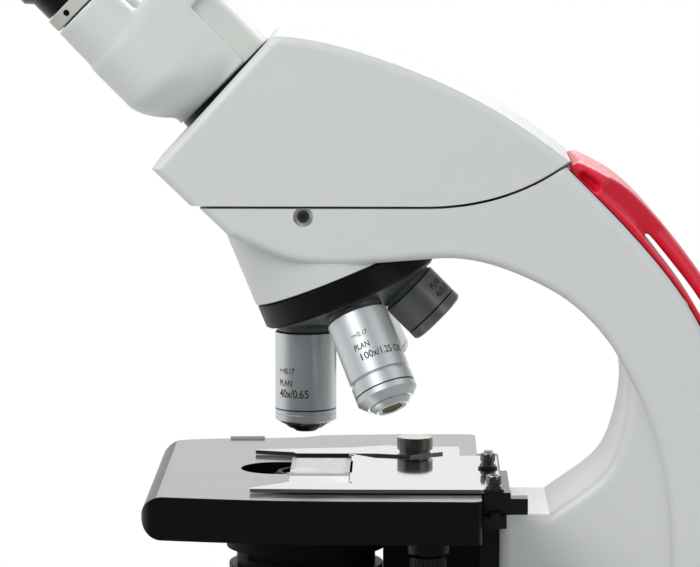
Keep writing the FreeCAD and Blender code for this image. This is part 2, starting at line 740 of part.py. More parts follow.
def stage_bracket():
    plate = box(28, SLIDE_FRONT, -38, 38, BRACKET_TOP - 6, BRACKET_TOP)
    plate = plate.cut(upright(CONDENSER_RADIUS + 2, 0, 0, 100, 140))
    web = box(CARRIER_FACE + BODY_GAP, SLIDE_FRONT, -13, 13, 82, BRACKET_TOP - 6)
    gusset = outline(side_view, (CARRIER_FACE + 3, BRACKET_TOP - 6), [(CARRIER_FACE + 3, 118)],
                     [(60, 104)], [(SLIDE_FRONT, 92)], [(SLIDE_FRONT, BRACKET_TOP - 6)])
    cheeks = []
    for side in (-1, 1):
        cheek = slab(gusset, 2.5)
        cheek.translate(Vector(0, side * 26, 0))
        cheeks.append(cheek)
    back = box(SLIDE_FRONT - 6, SLIDE_FRONT, -SLIDE_HALF - 4.5, SLIDE_HALF + 4.5, 82, BRACKET_TOP - 6)
    body = fused(plate, web, back, *cheeks)
    tooth_space = crosswise(8.0, CONDENSER_SHAFT_X, CONDENSER_SHAFT_Z, -5.5, 5.5)
    bore = crosswise(4.0 + RUN_FIT, CONDENSER_SHAFT_X, CONDENSER_SHAFT_Z, -40, 40)
    groove = layer(carrier_tongue(0.1), 81, BRACKET_TOP - 6)
    rack_space = box(CARRIER_FACE, CONDENSER_RACK_X + 1.2, -4.3, 4.3, 81, BRACKET_TOP - 6)
    return body.cut([tooth_space, bore, groove, rack_space])


def stage_base():
    plate = box(-34, 56, -64, 70, BRACKET_TOP, BRACKET_TOP + 7)
    ways = []
    for side in (-1, 1):
        y = side * WAY_HALF_SPACING
        ways.append(box(-34, 56, y - 5, y + 5, BRACKET_TOP + 7, ROOF_LOW))
    hole = upright(CONDENSER_TIP_RADIUS + 2.5, 0, 0, BRACKET_TOP - 1, STAGE_TOP)
    return fused(plate, *ways).cut(hole)


# Condenser

def carrier_tongue(gap):
    face = CARRIER_FACE
    return outline(plan_view, (face - 1, -4 - gap), [(face, -4 - gap)],
                   [(face + 3 + gap, -5.5 - gap)], [(face + 3 + gap, 5.5 + gap)],
                   [(face, 4 + gap)], [(face - 1, 4 + gap)])


def condenser_carrier():
    ring = tube(CONDENSER_RADIUS + 4.5, CONDENSER_RADIUS + SCREW_FIT, 6,
                Vector(0, 0, CONDENSER_SHOULDER - 6))
    block = box(CONDENSER_RADIUS + 3.5, CARRIER_FACE, -11, 11, CARRIER_LOW, CONDENSER_SHOULDER)
    block = block.cut([upright(IRIS_RADIUS + 0.7, 0, 0, CARRIER_LOW - 1, CONDENSER_SHOULDER - 6)])
    tongue = layer(carrier_tongue(0), CARRIER_LOW, CONDENSER_SHOULDER)
    teeth = rack(8, 1.5, 8)
    teeth.translate(Vector(CONDENSER_RACK_X, 0, CONDENSER_SHAFT_Z + 3 * math.pi * MODULE))
    bore = upright(CONDENSER_RADIUS + SCREW_FIT, 0, 0, CARRIER_LOW - 1, CONDENSER_SHOULDER + 1)
    body = fused(ring, block, tongue).cut(bore)
    return body.fuse(teeth).removeSplitter()


def condenser_body():
    low = IRIS_LOW - 5
    profile = [(10, low + 9), (20.1, low + 9), (20.1, low), (IRIS_RADIUS - 3, low),
               (IRIS_RADIUS - 3, IRIS_LOW - 0.2), (CONDENSER_NECK, IRIS_LOW - 0.2),
               (CONDENSER_NECK, IRIS_HIGH + 0.3), (CONDENSER_RADIUS, IRIS_HIGH + 0.3),
               (CONDENSER_RADIUS, CONDENSER_SHOULDER), (24, CONDENSER_SHOULDER + 1),
               (CONDENSER_TIP_RADIUS, CONDENSER_SHOULDER + 9),
               (CONDENSER_TIP_RADIUS, CONDENSER_TIP - 2), (CONDENSER_TIP_RADIUS - 2, CONDENSER_TIP),
               (10.6, CONDENSER_TIP), (10.6, CONDENSER_TIP - 4.5), (10, CONDENSER_TIP - 4.5)]
    slot = box(-25, 18, -CONDENSER_RADIUS - 1, CONDENSER_RADIUS + 1, 111.7, 115.2)
    return turned(profile).cut(slot)


def condenser_lenses():
    top = domed(10.5, CONDENSER_TIP - 1.2, 0.9, CONDENSER_TIP - 4.5)
    low = IRIS_LOW - 5
    return [top, upright(20, 0, 0, low + 3, low + 9)]


def iris_ring():
    grip = fluted(IRIS_RADIUS, 0.7, 60, IRIS_LOW, IRIS_HIGH)
    lever = cylinder(2.0, 9.0, Vector(-IRIS_RADIUS + 1.5, 0, (IRIS_LOW + IRIS_HIGH) / 2),
                     Vector(-1, 0, 0))
    bore = upright(CONDENSER_NECK + RUN_FIT, 0, 0, IRIS_LOW - 1, IRIS_HIGH + 1)
    return fused(grip, lever).cut(bore)


def condenser_knob():
    shaft = upright(4.0, 0, 0, -13, 42)
    gear = toothed(MODULE * CONDENSER_TEETH / 2, CONDENSER_TEETH, 9)
    gear.translate(Vector(0, 0, -4.5))
    grip = fluted(13.0, 0.8, 28, 42, 54)
    cap = turned([(0, 54), (11.5, 54), (10, 56), (0, 56)])
    knob = fused(shaft, gear, grip, cap)
    return placed(knob, Vector(CONDENSER_SHAFT_X, 0, CONDENSER_SHAFT_Z), SIDE, Vector(-1, 0, 0))


# Stage and slide holder

def stage_plan(inset):
    near = STAGE_NEAR + inset
    far = STAGE_FAR - inset
    front = STAGE_FRONT + inset
    back = STAGE_BACK - inset
    corner = 9.0
    return outline(
        plan_view, (back, near + 4),
        [(back - 1.2, near + 1.2), (back - 4, near)],
        [(42.0, near + 0.6), (0.0, near + 1.4), (-42.0, near + 7.0), (front + corner, near + 10.4)],
        [(front + 1.6, near + 13.4), (front, near + 19.0)],
        [(front, far - 30.0)],
        [(front + 1.6, far - 23.0), (front + corner, far - 19.0)],
        [(-39.0, far - 14.1), (-20.0, far - 12.6), (-2.0, far - 9.2)],
        [(5.0, far - 3.9)],
        [(41.0, far)],
        [(back - 4, far)],
        [(back - 1.2, far - 1.2), (back, far - 4)])


def stage_plate():
    middle = (STAGE_LOW + STAGE_TOP) / 2
    nose = STAGE_THICK / 2
    side = outline(side_view, (STAGE_FRONT + nose, STAGE_TOP), [(STAGE_BACK, STAGE_TOP)],
                   [(STAGE_BACK, STAGE_LOW)], [(STAGE_FRONT + nose, STAGE_LOW)],
                   [(STAGE_FRONT, middle), (STAGE_FRONT + nose, STAGE_TOP)])
    body = layer(stage_plan(0), STAGE_LOW, STAGE_TOP).common(slab(side, 120))
    cavity = layer(stage_plan(4.5), STAGE_LOW - 1, ROOF_LOW)
    cavity = cavity.common(box(STAGE_FRONT + 9, STAGE_BACK, -120, 120, 100, 200))
    slot = fused(upright(SLOT_RADIUS, SLOT_FRONT, 0, ROOF_LOW - 1, STAGE_TOP + 1),
                 upright(SLOT_RADIUS, SLOT_BACK, 0, ROOF_LOW - 1, STAGE_TOP + 1),
                 box(SLOT_FRONT, SLOT_BACK, -SLOT_RADIUS, SLOT_RADIUS, ROOF_LOW - 1, STAGE_TOP + 1))
    drive_boss = upright(9.0, DRIVE_X, DRIVE_Y, STAGE_LOW - 5, ROOF_LOW + 1)
    bore = upright(3.5 + RUN_FIT, DRIVE_X, DRIVE_Y, STAGE_LOW - 6, ROOF_LOW - 2)
    return body.cut([cavity, slot]).fuse(drive_boss).cut(bore)


def slide_rail():
    rail = box(STAGE_BACK, RAIL_BACK, STAGE_NEAR + 8, STAGE_FAR - 8, RAIL_LOW, RAIL_HIGH)
    ridge = box(80, 84, STAGE_NEAR + 8, STAGE_FAR - 8, RAIL_HIGH, RAIL_HIGH + 1.6)
    return fused(rail, ridge)


def y_drive_knob():
    grip = fluted(7.8, 0.5, 24, Y_KNOB_LOW, Y_KNOB_TOP - 0.8)
    cap = upright(7.3, 0, 0, Y_KNOB_TOP - 0.8, Y_KNOB_TOP)
    shaft = upright(3.5, 0, 0, Y_KNOB_TOP, ROOF_LOW - 3)
    bore = upright(2.0 + RUN_FIT, 0, 0, Y_KNOB_LOW - 1, ROOF_LOW)
    knob = fused(grip, cap, shaft).cut(bore)
    knob.translate(Vector(DRIVE_X, DRIVE_Y, 0))
    return knob


def x_drive_knob():
    grip = fluted(9.5, 0.6, 28, X_KNOB_LOW, Y_KNOB_LOW - BODY_GAP)
    foot = upright(8.6, 0, 0, X_KNOB_LOW - 1.5, X_KNOB_LOW)
    shaft = upright(2.0, 0, 0, Y_KNOB_LOW - BODY_GAP, ROOF_LOW - 3)
    knob = fused(grip, foot, shaft)
    knob.translate(Vector(DRIVE_X, DRIVE_Y, 0))
    return knob


def carriage_block():
    block = box(STAGE_BACK + 1, CARRIAGE_BACK, CARRIAGE_NEAR, CARRIAGE_FAR,
                RAIL_HIGH + BODY_GAP, HOLDER_LOW)
    end = box(STAGE_BACK + 1, CARRIAGE_BACK, CARRIAGE_NEAR, CARRIAGE_NEAR + 7.2,
              HOLDER_LOW, HOLDER_TOP)
    clamp = box(CARRIAGE_BACK, CARRIAGE_BACK + 7.2, CARRIAGE_NEAR, CARRIAGE_NEAR + 9, 142.6, 149.4)
    groove = box(80 - 0.2, 84 + 0.2, CARRIAGE_NEAR - 1, CARRIAGE_FAR + 1, RAIL_HIGH,
                 RAIL_HIGH + 1.6 + 0.3)
    cuts = [groove]
    for x, y in SCREW_PLACES:
        cuts.append(upright(1.5 + SCREW_FIT, x, y, HOLDER_LOW - 4, HOLDER_TOP + 1))
    return fused(block, end, clamp).cut(cuts)


def slide_holder():
    slide_far = SLIDE_Y + GLASS_SLIDE[1]
    plate_front = SLIDE_X + GLASS_SLIDE[0] + 0.4
    near = CARRIAGE_NEAR + 7.2
    face = outline(
        plan_view, (-22.0, near + 1.2),
        [(-22.0, near + 4.2)],
        [(-9.0, SLIDE_Y - 3.0)],
        [(-7.0, SLIDE_Y - 0.1)],
        [(plate_front, SLIDE_Y - 0.1)],
        [(plate_front, slide_far - 5.0)],
        [(22.5, 33.0), (39.0, 48.0)],
        [(68.0, 48.0)],
        [(68.0, 22.6)],
        [(CARRIAGE_BACK - 4, 22.6)],
        [(CARRIAGE_BACK - 4, near)],
        [(20.0, near)])
    plate = layer(face, HOLDER_LOW, HOLDER_TOP)
    cuts = [upright(2.5 + SCREW_FIT, FINGER_PIVOT[0], FINGER_PIVOT[1], 140, 160)]
    for x, y in SCREW_PLACES:
        cuts.append(upright(1.5 + SCREW_FIT, x, y, 140, 160))
    return plate.cut(cuts)


def specimen_slide():
    return box(SLIDE_X, SLIDE_X + GLASS_SLIDE[0], SLIDE_Y, SLIDE_Y + GLASS_SLIDE[1],
               STAGE_TOP, STAGE_TOP + GLASS_SLIDE[2])


def thumb_screws():
    screws = []
    for x, y in SCREW_PLACES:
        head = fluted(3.1, 0.3, 20, 2, 7)
        neck = upright(1.9, 0, 0, 0, 2)
        shank = upright(1.5, 0, 0, -5, 0)
        screw = fused(head, neck, shank)
        screw.translate(Vector(x, y, HOLDER_TOP))
        screws.append(screw)
    return screws


def finger_knob():
    low = HOLDER_TOP + FINGER_THICK + 0.15
    knob = turned([(0, HOLDER_LOW), (2.5, HOLDER_LOW), (2.5, low), (FINGER_KNOB, low),
                   (FINGER_KNOB, low + 6.6), (FINGER_KNOB - 0.6, low + 7.2), (0, low + 7.2)])
    knob.translate(Vector(FINGER_PIVOT[0], FINGER_PIVOT[1], 0))
    return knob


def slide_finger():
    slide_far = SLIDE_Y + GLASS_SLIDE[1] + 0.1
    face = outline(
        plan_view, (-23.6, 38.4),
        [(-23.6, 36.4)],
        [(-6.5, 31.0)],
        [(-5.0, slide_far)],
        [(20.0, slide_far)],
        [(30.0, 22.0)],
        [(46.0, 17.5)],
        [(60.5, 27.0)],
        [(60.5, 33.0)],
        [(50.0, 37.5), (36.0, 46.0)],
        [(20.0, 45.0)])
    plate = layer(face, HOLDER_TOP + 0.05, HOLDER_TOP + FINGER_THICK)
    lip = layer(face, HOLDER_LOW, HOLDER_TOP + 0.05).common(box(-30, 18.6, 20, 60, 140, 160))
    hole = upright(2.5 + RUN_FIT, FINGER_PIVOT[0], FINGER_PIVOT[1], 140, 160)
    return fused(plate, lip).cut(hole)


# Nosepiece

def objective_direction(place):
    """Direction of a nosepiece place: 0 is in use, the others follow round the axis."""
    upright_axis = Vector(0, 0, -1)
    turn = Rotation(TURRET_AXIS, 90 * place)
    return turn.multVec(upright_axis)


def turret_pivot():
    flange_top = NOSE_DROP
    end = 63.4
    flange = cylinder(37.0, 1.6, Vector(0, 0, flange_top))
    stud = cylinder(STUD_RADIUS, end + 4 - flange_top, Vector(0, 0, flange_top))
    pivot = placed(fused(flange, stud), APEX, TURRET_AXIS)
    pivot = pivot.cut(upright(LIGHT_BORE, 0, 0, SEAT_Z, SEAM_Z))
    nut = placed(tube(9.0, STUD_RADIUS + SCREW_FIT, 3.6, Vector(0, 0, end + 0.1)),
                 APEX, TURRET_AXIS)
    return [pivot, nut]


def turret_body():
    slope = math.tan(TILT)
    seat_depth = SEAT_DISTANCE * math.cos(TILT) - BOSS_HEIGHT
    seat_radius = SEAT_DISTANCE * math.sin(TILT)
    start = NOSE_DROP + 1.6 + BODY_GAP
    rim_depth = seat_depth - (TURRET_RADIUS - seat_radius) * slope
    flat_radius = 12.6
    flat_depth = seat_depth + (seat_radius - flat_radius) * slope
    body = turned([(STUD_RADIUS + RUN_FIT, start), (TURRET_RADIUS, start),
                   (TURRET_RADIUS, rim_depth), (flat_radius, flat_depth),
                   (STUD_RADIUS + RUN_FIT, flat_depth)])
    body = placed(body, APEX, TURRET_AXIS)
    bosses = []
    cuts = []
    for place in range(4):
        direction = objective_direction(place)
        bosses.append(cylinder(12.4, 6, APEX + direction * (SEAT_DISTANCE - 6), direction))
        cuts.append(cylinder(THREAD_RADIUS + SCREW_FIT, THREAD_LENGTH + 0.5,
                             APEX + direction * (SEAT_DISTANCE - THREAD_LENGTH - 0.5), direction))
        cuts.append(cylinder(LIGHT_BORE, SEAT_DISTANCE - 30, APEX + direction * 30, direction))
    return body.fuse(bosses).cut(cuts)


def grip_ring():
    inner = TURRET_RADIUS + 0.05
    ring = turned([(inner, RING_TOP), (RING_RADIUS - 0.8, RING_TOP),
                   (RING_RADIUS, RING_TOP + 0.8), (RING_RADIUS, RING_BOTTOM - 1.2),
                   (RING_RADIUS - 1.2, RING_BOTTOM), (inner, RING_BOTTOM)])
    return placed(ring, APEX, TURRET_AXIS)


def on_turret(shape, place):
    direction = objective_direction(place)
    return placed(shape, APEX + direction * SEAT_DISTANCE, direction)


def barrel(profile, bore):
    """An objective barrel drawn from its seat; it starts with the mounting thread's stub."""
    stub = [(bore, -THREAD_LENGTH), (THREAD_RADIUS, -THREAD_LENGTH), (THREAD_RADIUS, 0)]
    return turned(stub + profile)


def objective_40x():
    bore = 9.2
    shell = barrel([(BARREL_RADIUS - 0.6, 0), (BARREL_RADIUS, 0.6), (BARREL_RADIUS, 35.6),
                    (BARREL_RADIUS - 0.25, 35.7), (BARREL_RADIUS - 0.25, 36.3),
                    (BARREL_RADIUS, 36.4), (BARREL_RADIUS, 39.2), (BARREL_RADIUS - 3.2, 41.0),
                    (bore, 41.0), (bore, 30.0), (6.0, 30.0), (6.0, -THREAD_LENGTH)], 6.0)
    return on_turret(shell, 0)


def objective_40x_tip():
    tip = turned([(3.0, 30.0 + SPRUNG_TRAVEL + 0.3), (9.1, 30.0 + SPRUNG_TRAVEL + 0.3), (9.1, 41.6),
                  (7.2, 43.0), (6.2, 43.0), (4.6, 44.4), (3.0, 44.4)])
    return on_turret(tip, 0)


def objective_100x():
    bore = 9.2
    shell = barrel([(BARREL_RADIUS - 1.4, 0), (BARREL_RADIUS, 1.4), (BARREL_RADIUS, 29.0),
                    (BARREL_RADIUS - 1.2, 29.4), (BARREL_RADIUS - 1.2, 30.6),
                    (BARREL_RADIUS, 31.0), (BARREL_RADIUS, 35.6), (BARREL_RADIUS - 0.3, 35.7),
                    (BARREL_RADIUS - 0.3, 36.1), (BARREL_RADIUS, 36.2), (BARREL_RADIUS, 38.6),
                    (10.2, 42.0), (bore, 42.0), (bore, 30.0), (6.0, 30.0),
                    (6.0, -THREAD_LENGTH)], 6.0)
    return on_turret(shell, 3)


def objective_100x_tip():
    tip = turned([(0, 30.0 + SPRUNG_TRAVEL + 0.3), (9.1, 30.0 + SPRUNG_TRAVEL + 0.3), (9.1, 42.4),
                  (6.6, 44.3), (5.0, 44.5), (0, 44.9)])
    return on_turret(tip, 3)


def objective_10x():
    shell = barrel([(BARREL_RADIUS - 1.0, 0), (BARREL_RADIUS, 1.0), (BARREL_RADIUS, 25.0),
                    (BARREL_RADIUS - 0.3, 25.1), (BARREL_RADIUS - 0.3, 25.6),
                    (BARREL_RADIUS, 25.7), (BARREL_RADIUS, 28.0), (9.6, 31.4), (9.6, 33.6),
                    (8.8, 34.4), (5.0, 34.4), (5.0, -THREAD_LENGTH)], 5.0)
    return on_turret(shell, 1)


def objective_4x():
    shell = barrel([(BARREL_RADIUS - 0.6, 0), (BARREL_RADIUS, 0.6), (BARREL_RADIUS, 13.6),
                    (BARREL_RADIUS - 0.25, 13.7), (BARREL_RADIUS - 0.25, 14.2),
                    (BARREL_RADIUS, 14.3), (BARREL_RADIUS, 17.8), (BARREL_RADIUS - 0.8, 18.6),
                    (9.0, 18.6), (8.0, 16.6), (8.0, -THREAD_LENGTH)], 8.0)
    return on_turret(shell, 2)


# Head

def head_side():
    """Side view of the housing, drawn past its seam surface, which trims it afterwards."""
    below = HEAD_LOW - 12
    return outline(
        side_view, (-48.4, HEAD_LOW),
        [(-64.8, 285.5)],
        [(-16.5, 338.3)],
        [(-14.0, 341.2), (-9.0, 342.4)],
        [(5.5, 340.5), (29.9, 333.9), (56.6, 323.8), (83.4, 310.2), (102.0, 298.0),
         (HEAD_TAIL, 288.3)],
        [(HEAD_TAIL, below)],
        [(-38.4, below)])


def head_housing():
    outer = slab(head_side(), BODY_HALF)
    tail = [edge for edge in outer.Edges if edge.BoundBox.XMin > HEAD_TAIL - 1
            and edge.BoundBox.ZMin > HEAD_LOW]
    outer = outer.makeFillet(HEAD_EDGE, long_edges(outer, BODY_HALF) + tail)
    above = bowl(HEAD_LOW, BOWL_RADIUS - SEAM_GAP, BOWL_EDGE + 8)
    outer = outer.common(above)
    inner = outline(side_view, (-40.0, HEAD_LOW + HEAD_WALL), [(-54.0, 286.0)], [(-14.0, 330.0)],
                    [(22.0, 328.0)], [(56.0, 312.0)], [(56.0, HEAD_LOW + HEAD_WALL)])
    cavity = slab(inner, BODY_HALF - HEAD_WALL)
    socket = cylinder(JOINT_RADIUS + 0.2, 20, FOLD_ORIGIN + FOLD_AXIS * (JOINT_START - 5), FOLD_AXIS)
    window = cylinder(14, 30, FOLD_ORIGIN + FOLD_AXIS * (JOINT_START - 25), FOLD_AXIS)
    light = upright(11, 0, 0, HEAD_LOW - 5, HEAD_LOW + 10)
    return outer.cut([cavity, socket, window, light])


def head_dovetail():
    ring = turned([(11, SEAM_Z - 8), (SPIGOT_RADIUS - 1.5, SEAM_Z - 8),
                   (SPIGOT_RADIUS, SEAM_Z - 6.5), (SPIGOT_RADIUS, SEAM_Z - 5.2),
                   (SPIGOT_RADIUS - 1.6, head_screw_z()), (SPIGOT_RADIUS, SEAM_Z - 1.6),
                   (SPIGOT_RADIUS, SEAM_Z), (SPIGOT_RADIUS + 6, SEAM_Z),
                   (SPIGOT_RADIUS + 6, HEAD_LOW), (11, HEAD_LOW)])
    return ring


def head_clamp_screw():
    face = -BODY_HALF + 3
    z = head_screw_z()
    head = crosswise(2.6, 0, z, face - 2.2, face)
    hexagon = Part.makePolygon([Vector(1.4 * math.cos(math.radians(60 * k)), 0,
                                       1.4 * math.sin(math.radians(60 * k))) for k in range(7)])
    socket = Part.Face(hexagon).extrude(Vector(0, 1.6, 0))
    socket.translate(Vector(0, face - 2.3, z))
    shank = crosswise(2.0, 0, z, face, -SPIGOT_RADIUS - 0.1)
    return head.cut(socket).fuse(shank)


def deflecting_prism():
    low = HEAD_LOW + HEAD_WALL
    face = outline(side_view, (-17, low), [(17, low)], [(17, low + 10)], [(-3, low + 34)],
                   [(-17, low + 20)])
    return slab(face, 15)


def pivot_flange():
    return tube(JOINT_RADIUS, 14, 5, FOLD_ORIGIN + FOLD_AXIS * (JOINT_START - 5), FOLD_AXIS)


def in_fold(shape):
    """A shape drawn with Z along the fold axis, X to the user's right and Y up and back."""
    return placed(shape, FOLD_ORIGIN, FOLD_AXIS, Vector(0, -1, 0))


def binocular_hub():
    top = JOINT_START + HUB_LENGTH
    hub = turned([(14, JOINT_START), (HUB_RADIUS, JOINT_START), (HUB_RADIUS, top - 1),
                  (HUB_RADIUS - 1, top), (21, top), (19, top + 2.4), (0, top + 2.4),
                  (0, top - 6), (14, top - 6)])
    return in_fold(hub)


def arm_outline(reach, radius, z):
    """Outline round the hub circle and a smaller circle out at a reach, at a height z."""
    lean = math.radians(-TUBE_DROP_ANGLE)
    spread = math.acos((ARM_RADIUS - radius) / reach)
    middle = (reach * math.cos(lean), reach * math.sin(lean))

    def rim(centre, size, angle):
        return Vector(centre[0] + size * math.cos(angle), centre[1] + size * math.sin(angle), z)

    high = lean + spread
    low = lean - spread
    tip = Part.Arc(rim(middle, radius, low), rim(middle, radius, lean), rim(middle, radius, high))
    back = Part.Arc(rim((0, 0), ARM_RADIUS, high), rim((0, 0), ARM_RADIUS, lean + math.pi),
                    rim((0, 0), ARM_RADIUS, low))
    upper = Part.makeLine(rim(middle, radius, high), rim((0, 0), ARM_RADIUS, high))
    lower = Part.makeLine(rim((0, 0), ARM_RADIUS, low), rim(middle, radius, low))
    return Part.Wire([tip.toShape(), upper, back.toShape(), lower])


def eye_arm():
    depth = ARM_FULL - ARM_START
    belly = Part.makeLoft([arm_outline(TUBE_OFFSET * 0.38, TUBE_RADIUS - 0.5, ARM_START),
                           arm_outline(TUBE_OFFSET * 0.68, TUBE_RADIUS, ARM_START + depth * 0.37),
                           arm_outline(TUBE_OFFSET * 0.88, TUBE_RADIUS, ARM_START + depth * 0.66),
                           arm_outline(TUBE_OFFSET, TUBE_RADIUS, ARM_FULL)], True)
    upper = Part.Face(arm_outline(TUBE_OFFSET, TUBE_RADIUS, ARM_FULL))
    upper = upper.extrude(Vector(0, 0, ARM_TOP - 6 - ARM_FULL))
    crown = Part.makeLoft([arm_outline(TUBE_OFFSET, TUBE_RADIUS, ARM_TOP - 6),
                           arm_outline(TUBE_OFFSET - 0.8, TUBE_RADIUS - 1.0, ARM_TOP)], True)
    boss = Part.makeCone(TUBE_RADIUS - 0.4, TUBE_TOP_RADIUS, TUBE_END - ARM_FULL - 2,
                         Vector(TUBE_X, TUBE_Y, ARM_FULL + 2))
    body = belly.fuse([upper, crown, boss])
    limit = math.tan(math.radians(14))
    far = 80.0
    keep = outline(plan_view, (0, 0), [(far, far / limit)], [(far * 3, 0)], [(far, -far / limit)])
    body = body.common(layer(keep, ARM_START - 5, TUBE_END + 5))
    seam = box(0, 60, 13.4, 60, ARM_START - 1, 82)
    hub_space = upright(HUB_RADIUS + BODY_GAP, 0, 0, ARM_START - 1, JOINT_START + HUB_LENGTH + 0.3)
    cap_space = upright(21 + BODY_GAP, 0, 0, ARM_START, TUBE_END)
    bore = upright(EYE_TUBE + SCREW_FIT, TUBE_X, TUBE_Y, EYE_TUBE_LOW, TUBE_END + 1)
    light = upright(9.6, TUBE_X, TUBE_Y, 76, TUBE_END)
    return body.cut([seam, hub_space, cap_space, bore, light])


def right_eye_arm():
    return in_fold(eye_arm())


def left_eye_arm():
    return mirrored(right_eye_arm())


def on_tube(shape):
    moved = shape.copy()
    moved.translate(Vector(TUBE_X, TUBE_Y, 0))
    return in_fold(moved)


def right_eye_collar():
    ring = turned([(EYE_TUBE + SCREW_FIT, TUBE_END + 0.6), (14.2, TUBE_END + 0.6),
                   (14.6, TUBE_END + 1.0), (14.6, TUBE_END + COLLAR_LENGTH + 0.2),
                   (14.2, TUBE_END + COLLAR_LENGTH + 0.6),
                   (EYE_TUBE + SCREW_FIT, TUBE_END + COLLAR_LENGTH + 0.6)])
    hole = cylinder(1.2, 10, Vector(0, 0, TUBE_END + 3.6), Vector(1, 0, 0))
    return on_tube(ring.cut(hole))


def diopter_ring():
    ring = fluted(15.0, 0.5, 40, TUBE_END + BODY_GAP, TUBE_END + COLLAR_LENGTH + 1)
    ring = ring.cut(upright(EYE_TUBE + RUN_FIT, 0, 0, TUBE_END, TUBE_END + 20))
    return mirrored(on_tube(ring))


def eyepiece():
    start = TUBE_END + COLLAR_LENGTH + 1.2
    return turned([(9.6, EYE_TUBE_LOW), (EYE_TUBE, EYE_TUBE_LOW), (EYE_TUBE, start), (13.7, start),
                   (13.7, start + 9), (16.4, start + 12), (16.4, start + 26), (15.2, start + 30),
                   (15.2, EYEPIECE_END - 6), (11.0, EYEPIECE_END - 6), (11.0, EYEPIECE_END - 10),
                   (9.6, EYEPIECE_END - 10)])


def right_eyepiece():
    return on_tube(eyepiece())


def left_eyepiece():
    return mirrored(right_eyepiece())


def eyecup():
    return turned([(15.3, EYEPIECE_END - 14), (EYECUP_RADIUS - 0.5, EYEPIECE_END - 14),
                   (EYECUP_RADIUS - 0.5, EYEPIECE_END - 5), (EYECUP_RADIUS, EYEPIECE_END - 1),
                   (EYECUP_RADIUS - 0.8, EYEPIECE_END), (13.0, EYEPIECE_END - 0.6),
                   (12.0, EYEPIECE_END - 5.9), (15.3, EYEPIECE_END - 5.9)])


def right_eyecup():
    return on_tube(eyecup())


def left_eyecup():
    return mirrored(right_eyecup())


def save(name, pieces):
    """Writes one sub-part with the optical axis moved to its place in the part's frame."""
    if not isinstance(pieces, list):
        pieces = [pieces]
    moved = []
    for piece in pieces:
        copy = piece.copy()
        copy.translate(Vector(AXIS_X, 0, 0))
        moved.extend(copy.Solids)
    shape = moved[0] if len(moved) == 1 else Part.makeCompound(moved)
    shape.exportStep("parts/" + name + ".step")
    size = shape.BoundBox
    print("%-20s %2d solid %5s  X %7.1f %7.1f  Y %7.1f %7.1f  Z %6.1f %6.1f  %8.1f cm3" % (
        name, len(moved), all(one.isValid() for one in moved), size.XMin, size.XMax, size.YMin,
        size.YMax, size.ZMin, size.ZMax, shape.Volume / 1000))


PIECES = [
    arm_casting, base_housing, base_plate, rubber_feet, arm_bolts, rear_handle, lamp_collar,
    field_lens, led_module, heat_sink, power_inlet, power_switch, brightness_dial, shaft_bushes,
    coarse_shaft, coarse_knobs, fine_drive, focus_slide, focus_guide, focus_rack,
    stage_bracket, stage_base, condenser_carrier, condenser_body, condenser_lenses, iris_ring,
    condenser_knob, stage_plate, slide_rail, y_drive_knob, x_drive_knob, carriage_block,
    slide_holder, specimen_slide, thumb_screws, finger_knob, slide_finger, turret_pivot,
    turret_body, grip_ring, objective_40x, objective_40x_tip, objective_100x, objective_100x_tip,
    objective_10x, objective_4x, head_housing, head_dovetail, head_clamp_screw, deflecting_prism,
    pivot_flange, binocular_hub, right_eye_arm, left_eye_arm, right_eye_collar, diopter_ring,
    right_eyepiece, left_eyepiece, right_eyecup, left_eyecup]

os.makedirs("parts", exist_ok=True)
for piece in PIECES:
    save(piece.__name__, piece())
print("optical axis at X", round(AXIS_X, 2), "pieces", len(PIECES))
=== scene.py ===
# %% [markdown]
# This lesson dresses a compound microscope. Its solids come ready made, so that every moving
# piece already has its size and place. Here they get their finishes, and the small things that
# machining doesn't make.
# %% Load the frame
import math

import bmesh
import bpy
from mathutils import Matrix, Vector


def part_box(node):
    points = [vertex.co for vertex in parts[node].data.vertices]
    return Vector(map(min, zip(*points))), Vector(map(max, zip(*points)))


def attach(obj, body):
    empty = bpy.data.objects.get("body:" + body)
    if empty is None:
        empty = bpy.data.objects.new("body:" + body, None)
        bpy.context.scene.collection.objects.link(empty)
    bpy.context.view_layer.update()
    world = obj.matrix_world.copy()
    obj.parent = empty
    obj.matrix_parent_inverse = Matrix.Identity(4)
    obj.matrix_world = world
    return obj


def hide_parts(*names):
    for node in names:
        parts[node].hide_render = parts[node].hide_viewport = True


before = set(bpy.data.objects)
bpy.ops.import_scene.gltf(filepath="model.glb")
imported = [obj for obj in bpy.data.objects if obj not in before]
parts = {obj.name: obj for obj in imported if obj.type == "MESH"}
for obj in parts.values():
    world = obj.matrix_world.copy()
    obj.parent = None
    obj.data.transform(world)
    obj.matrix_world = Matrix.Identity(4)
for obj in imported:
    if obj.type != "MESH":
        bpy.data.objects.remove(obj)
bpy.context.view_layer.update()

# %% [markdown]
# The optical axis is the line that everything on a microscope hangs from. The condenser is round
# about it, so the middle of its box gives the axis, and nothing has to be measured twice. All
# objectives point away from one apex above the nosepiece, and the eyepiece arms fold about a line
# that leans towards the user by 45 degrees.
# %% Places shared by the whole lesson
def middle(node):
    """The middle of a solid's box."""
    low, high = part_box(node)
    return (Vector(low) + Vector(high)) / 2

mm = 0.001
axis_x = middle("condenser_body").x
apex_height = 274.8 * mm
seat_distance = 63.4 * mm
tube_apart, tube_height, tube_below = 32.043 * mm, 286 * mm, 18.5 * mm
apex = Vector((axis_x, 0, apex_height))
tilt = math.radians(22.5)
turret_axis = Vector((math.sin(tilt), 0, -math.cos(tilt)))

def seat_direction(place):
    """Which way an objective points: place 0 is in use, the others follow round the nosepiece."""
    return Matrix.Rotation(math.pi / 2 * place, 3, turret_axis) @ Vector((0, 0, -1))

def seat(place):
    """Where an objective's shoulder meets the nosepiece."""
    return apex + seat_direction(place) * seat_distance

